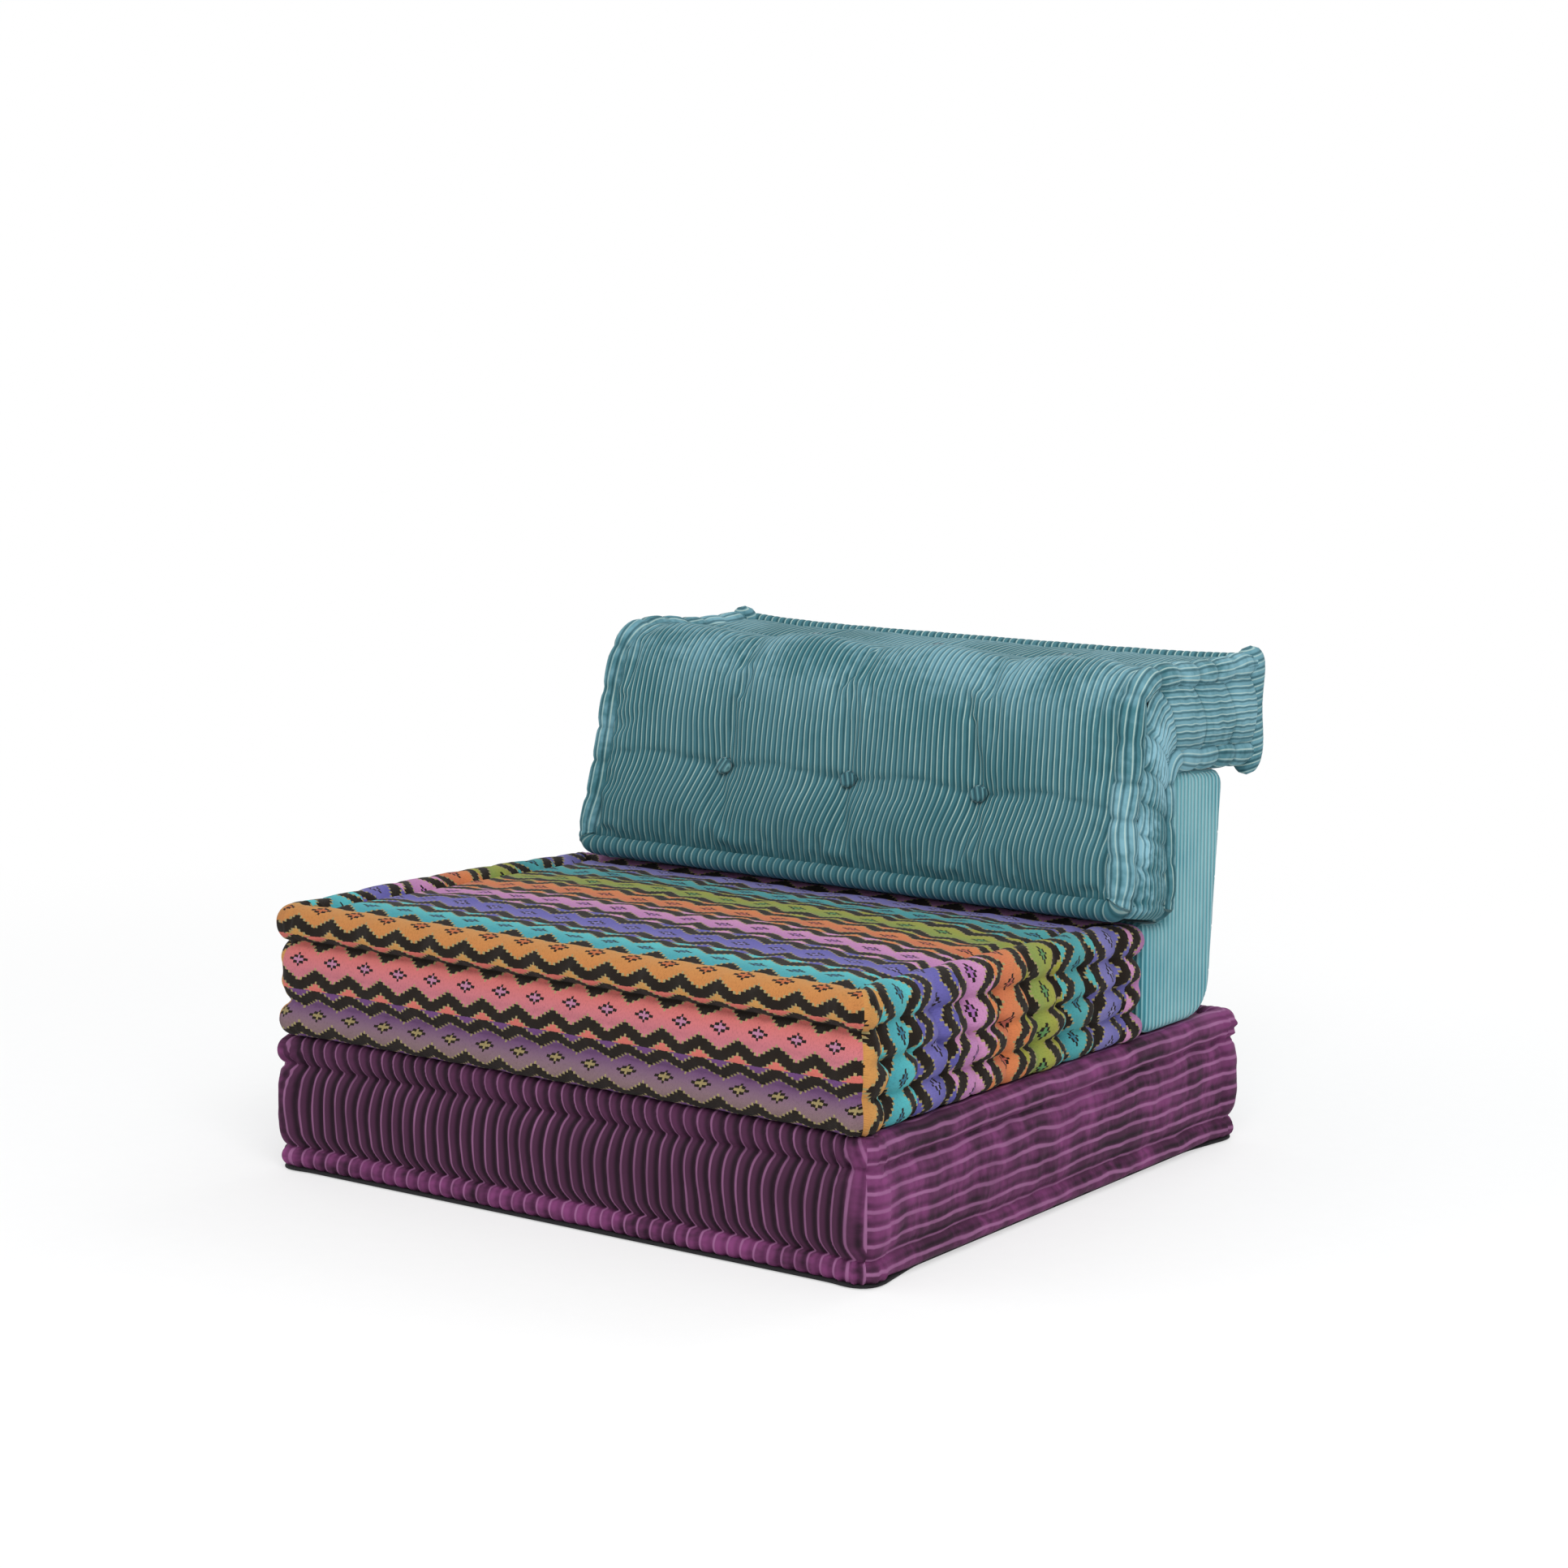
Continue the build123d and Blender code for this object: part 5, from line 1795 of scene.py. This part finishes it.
        spots = centres[None] + (out[None] * np.cos(turn_in) + normals[None] * np.sin(turn_in)) * radius
        weave = woven(np.where(crossing > 0.5, over, ring), travel)
        # Painted shade on the low part of the roll and in the pinches of its knots.
        low_end = smooth(centres[None, :, 2], 0.40, 0.37)
        dark = np.maximum(0.42 * crossing * low_end, 0.7 * np.exp(-apart / 0.0016) * side)
        # Painted light and crushed pile: the roll's side parts get the lighter pile colour.
        return closed_tube(Cloth(name, spots, weave, 0.1 + 0.6 * (1 - crossing), dark))

    def ear(self, hand: int) -> bpy.types.Object:
        """Sews the folded corner that hangs at a rear end, from the outer surface past the inner one.

        Args:
            hand: 1 at the right, -1 at the left.

        Returns:
            The new piece.
        """
        share = np.linspace(0, 1, 45)
        start = np.array(self.outer.rear) + np.array([-self.flank_end, 0.010])
        stop = np.array(self.inner.rear) + np.array([-self.flank_end, -0.014])
        line = start + (stop - start) * share[:, None]
        line[:, 0] += 0.004 * np.sin(pi * share) + 0.006 * (1 - share) ** 3
        centres = placed(np.full(len(share), hand * (self.half - self.ear_inset)), line)
        turn = np.linspace(0, FULL_TURN, 33)[:, None]
        blunt = (1 - np.abs(2 * share - 1) ** 7) ** 0.5
        width = self.ear_width * blunt * (1 + 0.08 * np.sin(share * 9 + 0.6))
        ring = share[None] * self.ear_pleats + 0.35 * np.sin(turn + 0.5)
        radius = width[None] - self.groove * (1 - ribs(ring)) * (width[None] / self.ear_width)
        around = np.stack([np.cos(turn) * radius, np.sin(turn) * radius, np.zeros_like(radius)], axis=-1)
        weave = woven(ring, turn * 0.02)
        return closed_tube(Cloth(f"back_ear_{HANDS[hand]}", centres[None] + around, weave, 0.55, 0.1))

    def settled(self, spots: Array) -> Array:
        """Lets the mattress rest: its low end spreads, its rear edge sags, its side rolls fill at the bend.

        Args:
            spots: Points of the cover about its own middle.

        Returns:
            The points in the sofa section.
        """
        x, y, z = spots.T
        climb_end, run_start, _ = self.outer.corners()
        share = np.clip(np.abs(x) / self.half, 0, 1)
        rearward = smooth(y, run_start[0] - 0.02, self.outer.rear[0])
        low = 1 - smooth(z, self.outer.low[1], self.outer.low[1] + 0.17)
        bend = smooth(z, climb_end[1] - 0.06, climb_end[1] + 0.02)
        sag = (self.rear_sag * (1 - share ** 4) - self.rear_corner_lift * share ** 6) * rearward
        near_bend = smooth(share, 0.84, 0.95) * hump(y, run_start[0] + 0.02, 0.10) * bend
        full = (self.bend_fill + self.left_bend_fill * (x < 0)) * near_bend
        spread = 1 + self.low_spread * low - self.bend_narrows * bend * (1 - rearward)
        return np.stack([x * spread + self.shift, y - self.rear_forward * rearward, z - sag + full], axis=-1)

    def rested(self, spots: Array) -> Array:
        """Lets the stuffing rest as the cover does."""
        return self.settled(spots - np.array([self.shift, 0, 0]))

    def build(self, finish: bpy.types.Material) -> None:
        """Makes the back's cloth and fixes it to the back."""
        parts = [self.face(), self.flank(1), self.flank(-1), self.end(False), self.end(True), self.lining()]
        parts.append(self.edging("back_front_roll", self.outer, 1))
        parts.append(self.edging("back_rear_roll", self.inner, -1))
        parts += [self.ear(1), self.ear(-1)]
        cover = sewn("back_ribbed_cover", parts)
        spots = self.settled(vectors(cover.data.vertices, "co"))
        cover.data.vertices.foreach_set("co", spots.ravel())
        cover.data.update()
        dress(cover, finish, "back", stands_for=("back_cover",))


def closed_tube(cloth: Cloth) -> bpy.types.Object:
    """Makes a tube whose faces point out of its own middle line.

    Args:
        cloth: The tube, its rows going round it.

    Returns:
        The new object.
    """
    piece = cloth.make(Vector((0, 0, 0)))
    middle = cloth.spots[:-1].mean(axis=0)
    mesh = piece.data
    mesh.update()
    polygon = mesh.polygons[len(mesh.polygons) // 2]
    centre = np.array(polygon.center)
    nearest = middle[np.argmin(np.linalg.norm(middle - centre, axis=1))]
    if np.dot(centre - nearest, np.array(polygon.normal)) < 0:
        mesh.flip_normals()
    return piece


def copied(name: str, piece: bpy.types.Object) -> bpy.types.Object:
    """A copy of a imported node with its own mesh, whose doubled points are merged."""
    fresh = bpy.data.objects.new(name, piece.data.copy())
    bpy.context.scene.collection.objects.link(fresh)
    return sewn(name, [fresh], SAME_POINT)


def shaped(piece: bpy.types.Object, kind: str, **settings: object) -> None:
    """Shapes a piece with one modifier.

    Args:
        piece: The active piece.
        kind: The modifier's kind.
        **settings: Its settings.
    """
    shaper = piece.modifiers.new(kind.lower(), kind)
    for key, value in settings.items():
        setattr(shaper, key, value)
    bpy.ops.object.modifier_apply(modifier=shaper.name)


@dataclass(frozen=True)
class Room:
    """An upright box with rounded corners that stuffing has to stay in."""

    low: tuple[float, float, float]
    high: tuple[float, float, float]
    corner: float

    def kept(self, spots: Array) -> Array:
        """Brings points back into the room.

        Args:
            spots: Any points.

        Returns:
            The points, none of them outside.
        """
        low, high = np.array(self.low), np.array(self.high)
        middle, half = (low + high) / 2, (high - low) / 2
        away = np.clip(spots - middle, -half, half)
        over = np.maximum(np.abs(away[:, :2]) - (half[:2] - self.corner), 0)
        far = np.hypot(*over.T)
        pull = np.where(far > self.corner, self.corner / np.maximum(far, 1e-9), 1.0)
        away[:, :2] -= np.sign(away[:, :2]) * over * (1 - pull[:, None])
        return middle + away


@dataclass(frozen=True)
class Stuffing:
    """Wadding, foam or roll filler that gives way where the cloth over it is drawn in."""

    node: str
    give: float = 0.009
    room: Room | None = None

    @property
    def body(self) -> str:
        """The cushion that it is in."""
        return self.node.split("_")[0]

    def build(self, piece: bpy.types.Object, finish: bpy.types.Material, slot: str,
              rested: Callable[[Array], Array]) -> None:
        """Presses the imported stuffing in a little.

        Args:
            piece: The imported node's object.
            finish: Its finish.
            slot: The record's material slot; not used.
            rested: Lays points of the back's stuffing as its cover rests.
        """
        soft = copied(f"{self.node}_pressed", piece)
        shaped(soft, "DISPLACE", strength=-self.give, mid_level=0.0)
        spots = vectors(soft.data.vertices, "co")
        spots = self.room.kept(spots) if self.room else spots
        spots = rested(spots) if self.body == "back" else spots
        soft.data.vertices.foreach_set("co", spots.ravel())
        soft.data.update()
        dress(soft, finish, self.body, stands_for=(self.node,))


# The stuffing that gives way under a drawn-in cover, in the order of the record.
STUFFINGS = (
    Stuffing("base_wadding", 0.008),
    Stuffing("base_top_roll_filler"),
    Stuffing("base_low_roll_filler"),
    Stuffing("seat_wadding", 0.016, Room((-0.440, -0.415, 0.188), (0.440, 0.167, 0.340), 0.045)),
    Stuffing("seat_top_roll_filler"),
    Stuffing("seat_low_roll_filler"),
    Stuffing("block_foam", 0.003),
    Stuffing("back_wadding", 0.009, Room((-0.392, 0.0, 0.30), (0.452, 0.508, 0.638), 0.02)),
    Stuffing("back_foam", 0.004),
    Stuffing("back_front_roll_filler"),
    Stuffing("back_rear_roll_filler"),
)


@dataclass
class Block:
    """The wedge block's cover, drawn from the foam inside it."""

    cloth: float = 0.0021
    voxel: float = 0.006

    def build(self, foam: bpy.types.Object, finish: bpy.types.Material) -> None:
        """Makes the block's cloth and fixes it to the block.

        Args:
            foam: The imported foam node.
            finish: The cover's finish.
        """
        cover = copied("block_ribbed_cover", foam)
        shaped(cover, "REMESH", mode="VOXEL", voxel_size=self.voxel)
        shaped(cover, "SMOOTH", iterations=3, factor=0.5)
        shaped(cover, "DISPLACE", strength=self.cloth, mid_level=0.0)
        cover.data.shade_smooth()
        dress(cover, finish, "block", stands_for=("block_cover",))


def dress(piece: bpy.types.Object, finish: bpy.types.Material, body: str,
          stands_for: tuple[str, ...] = ()) -> None:
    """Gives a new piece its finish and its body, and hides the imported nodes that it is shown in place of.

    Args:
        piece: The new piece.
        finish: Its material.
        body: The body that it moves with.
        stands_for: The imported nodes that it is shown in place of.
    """
    piece.data.materials.clear()
    piece.data.materials.append(finish)
    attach(piece, body)
    if stands_for:
        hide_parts(*stands_for)
    log.info("%s: %d faces", piece.name, len(piece.data.polygons))


@dataclass
class Studio:
    """The floor, the light and the camera."""

    eye: tuple[float, float, float] = (2.769, -3.782, 1.247)
    ahead: tuple[float, float, float] = (-0.579, 0.800, -0.157)
    lens: float = 82.24
    floor_size: float = 60.0
    fade: tuple[float, float] = (0.7, 2.6)

    def lamp(self, name: str, spot: tuple[float, float, float], target: tuple[float, float, float],
             size: float, power: float) -> None:
        """Hangs a soft lamp.

        Args:
            name: Its name.
            spot: Where it hangs.
            target: What it looks at.
            size: Its width.
            power: Its power in watts.
        """
        light = bpy.data.lights.new(name, "AREA")
        light.shape, light.size, light.energy = "SQUARE", size, power
        lamp = bpy.data.objects.new(name, light)
        lamp.location = spot
        lamp.rotation_euler = (Vector(target) - Vector(spot)).to_track_quat("-Z", "Y").to_euler()
        bpy.context.scene.collection.objects.link(lamp)

    def floor(self) -> None:
        """Lays a wide pale floor."""
        bpy.ops.object.select_all(action="DESELECT")
        bpy.ops.mesh.primitive_plane_add(size=self.floor_size)
        floor = bpy.context.object
        floor.name = "floor"
        desk = Desk(bpy.data.materials.new("pale_floor"))
        place = desk.place()
        speck = desk.noise(place, 40.0, 3.0)
        cloth = desk.surface(desk.mix(speck, tone("f3f2f0"), tone("efeeec")), 0.9)
        x, y, _ = desk.axes(place)
        away = desk.math("SQRT", x * x + y * y)
        near_glow = 0.55
        glow = away.rise(*self.fade) * (1 - near_glow) + near_glow
        white = desk.node("ShaderNodeEmission")
        desk.close("ShaderNodeOutputMaterial", self.shown(desk) * glow, cloth.outputs[0], white.outputs[0])
        floor.data.materials.append(desk.owner)

    def shown(self, desk: Desk) -> Signal:
        """1 for a ray from the camera, a mirror or glass, which sees the backdrop white."""
        path = desk.node("ShaderNodeLightPath")
        kinds = ("Camera", "Glossy", "Transmission")
        camera, mirror, glass = (Signal(desk, path.outputs[f"Is {kind} Ray"]) for kind in kinds)
        return desk.math("MAXIMUM", desk.math("MAXIMUM", camera, mirror), glass)

    def sky(self) -> None:
        """Fills the room with even pale light, and shows a white backdrop."""
        desk = Desk(bpy.data.worlds.new("studio"))
        bpy.context.scene.world = desk.owner
        lights = []
        for colour, strength in (((0.93, 0.96, 1.0, 1.0), 0.75), ((1.0, 1.0, 1.0, 1.0), 1.0)):
            light = desk.node("ShaderNodeBackground")
            light.inputs["Color"].default_value = colour
            light.inputs["Strength"].default_value = strength
            lights.append(light.outputs[0])
        desk.close("ShaderNodeOutputWorld", self.shown(desk), *lights)

    def camera(self) -> None:
        """Stands the camera where the photograph was taken from."""
        data = bpy.data.cameras.new("camera")
        data.lens = self.lens
        camera = bpy.data.objects.new("camera", data)
        camera.location = self.eye
        camera.rotation_euler = Vector(self.ahead).to_track_quat("-Z", "Y").to_euler()
        bpy.context.scene.collection.objects.link(camera)
        bpy.context.scene.camera = camera

    def build(self) -> None:
        """Sets the room up."""
        self.camera()
        self.floor()
        self.sky()
        self.lamp("key", spot=(1.9, -2.1, 2.5), target=(0, 0, 0.3), size=1.8, power=62)
        self.lamp("fill", spot=(-2.6, -2.2, 1.8), target=(0, 0, 0.3), size=2.4, power=22)
        self.lamp("rim", spot=(0.3, 2.6, 2.6), target=(0, 0.2, 0.4), size=2.0, power=30)
        bpy.context.scene.view_settings.view_transform = "Standard"


def finishes() -> dict[str, bpy.types.Material]:
    """Mixes every finish of the sofa section."""
    wood = (9.0, 60.0, 60.0)
    kinds = (
        # In the corduroys the groove colour is painted shade, the line colour a painted highlight, and the
        # lighter pile colour crushed pile that is partly painted light.
        Corduroy(
            "base_corduroy", rib="44203a", groove="1d0a18", line="a56e98", crushed_lit="874176", highlight_at=0.22,
            highlight_width=0.155, highlight_strength=0.68, sheen=0.12, groove_width=0.6, groove_at=0.9, crushed=0.7,
            highlight_crush_gain=0.2,
        ),
        Corduroy(
            "back_corduroy", rib="3c6f78", groove="1f4b53", line="c0d6ca", crushed_lit="8ab9c7", highlight_at=0.30,
            highlight_width=0.12, highlight_strength=0.9, sheen=0.08, groove_width=0.55, depth=0.0003,
        ),
        Kilim("seat_weave"),
        # In the ribbed block and buttons the darker colour is painted shade in the grooves and the palest a
        # painted highlight on the crests.
        SideRibs("block_corduroy", 0.0094, "458c99", "2f7580", "98c6c8"),
        SideRibs("button_corduroy", 0.0087, "2c5c67", "183f47", "6b9698", half=0.0, middle=10.0),
        Plain("foam", "efe6c8", "e2d6b2", depth=0.0006),
        Plain("wadding", "f2f2ee", "dcdcd6", (200.0, 200.0, 200.0), 0.95, depth=0.0012),
        Plain("timber", "c79a63", "a87a46", wood, 0.7),
        Plain("deck_board", "cfa873", "b98f5c", (8.0, 70.0, 70.0), 0.75),
        Plain("screw", "c7c2ae", "a09a84", (400.0, 400.0, 400.0), 0.35, metallic=0.9),
        Plain("glide", "1a1a1b", "0f0f10", (90.0, 90.0, 90.0), 0.5),
        Plain("dust_cover", "17161a", "0c0b0d", (700.0, 700.0, 700.0), 0.95, depth=0.0004),
        Plain("non_slip", "2b2b2d", "1d1d1f", (500.0, 500.0, 500.0), 0.9, depth=0.0006),
        Plain("zip_tape", "2c6470", "245663", (900.0, 300.0, 900.0), 0.9),
        Plain("zip_plastic", "2d6773", "225560", (500.0, 200.0, 200.0), 0.45),
        Plain("zip_metal", "3a7480", "2b5f6b", (300.0, 300.0, 300.0), 0.4, metallic=0.3),
        Plain("twine", "d8cfba", "bdb39b", (600.0, 600.0, 600.0), 0.9),
        Plain("washer", "e4e4df", "d4d4ce", (80.0, 80.0, 80.0), 0.5),
    )
    return {kind.name: kind.material() for kind in kinds}


def main() -> None:
    """Builds the sofa section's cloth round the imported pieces, and lights it."""
    logging.basicConfig(level=logging.INFO, format="%(message)s")
    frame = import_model()
    shades = finishes()
    slots = {entry["node"]: entry["material_slot"] for entry in frame["record"]["subparts"]}
    for node, piece in frame["nodes"].items():
        piece.data.materials.clear()
        piece.data.materials.append(shades["button_corduroy" if node.endswith("buttons") else slots[node]])
    Studio().build()
    Base().build(shades["base_corduroy"], shades["dust_cover"])
    Seat().build(shades["seat_weave"])
    Block().build(frame["nodes"]["block_foam"], shades["block_corduroy"])
    back = Back()
    back.build(shades["back_corduroy"])
    for stuffing in STUFFINGS:
        slot = slots[stuffing.node]
        stuffing.build(frame["nodes"][stuffing.node], shades[slot], slot, back.rested)
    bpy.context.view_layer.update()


if __name__ == "__main__":
    main()
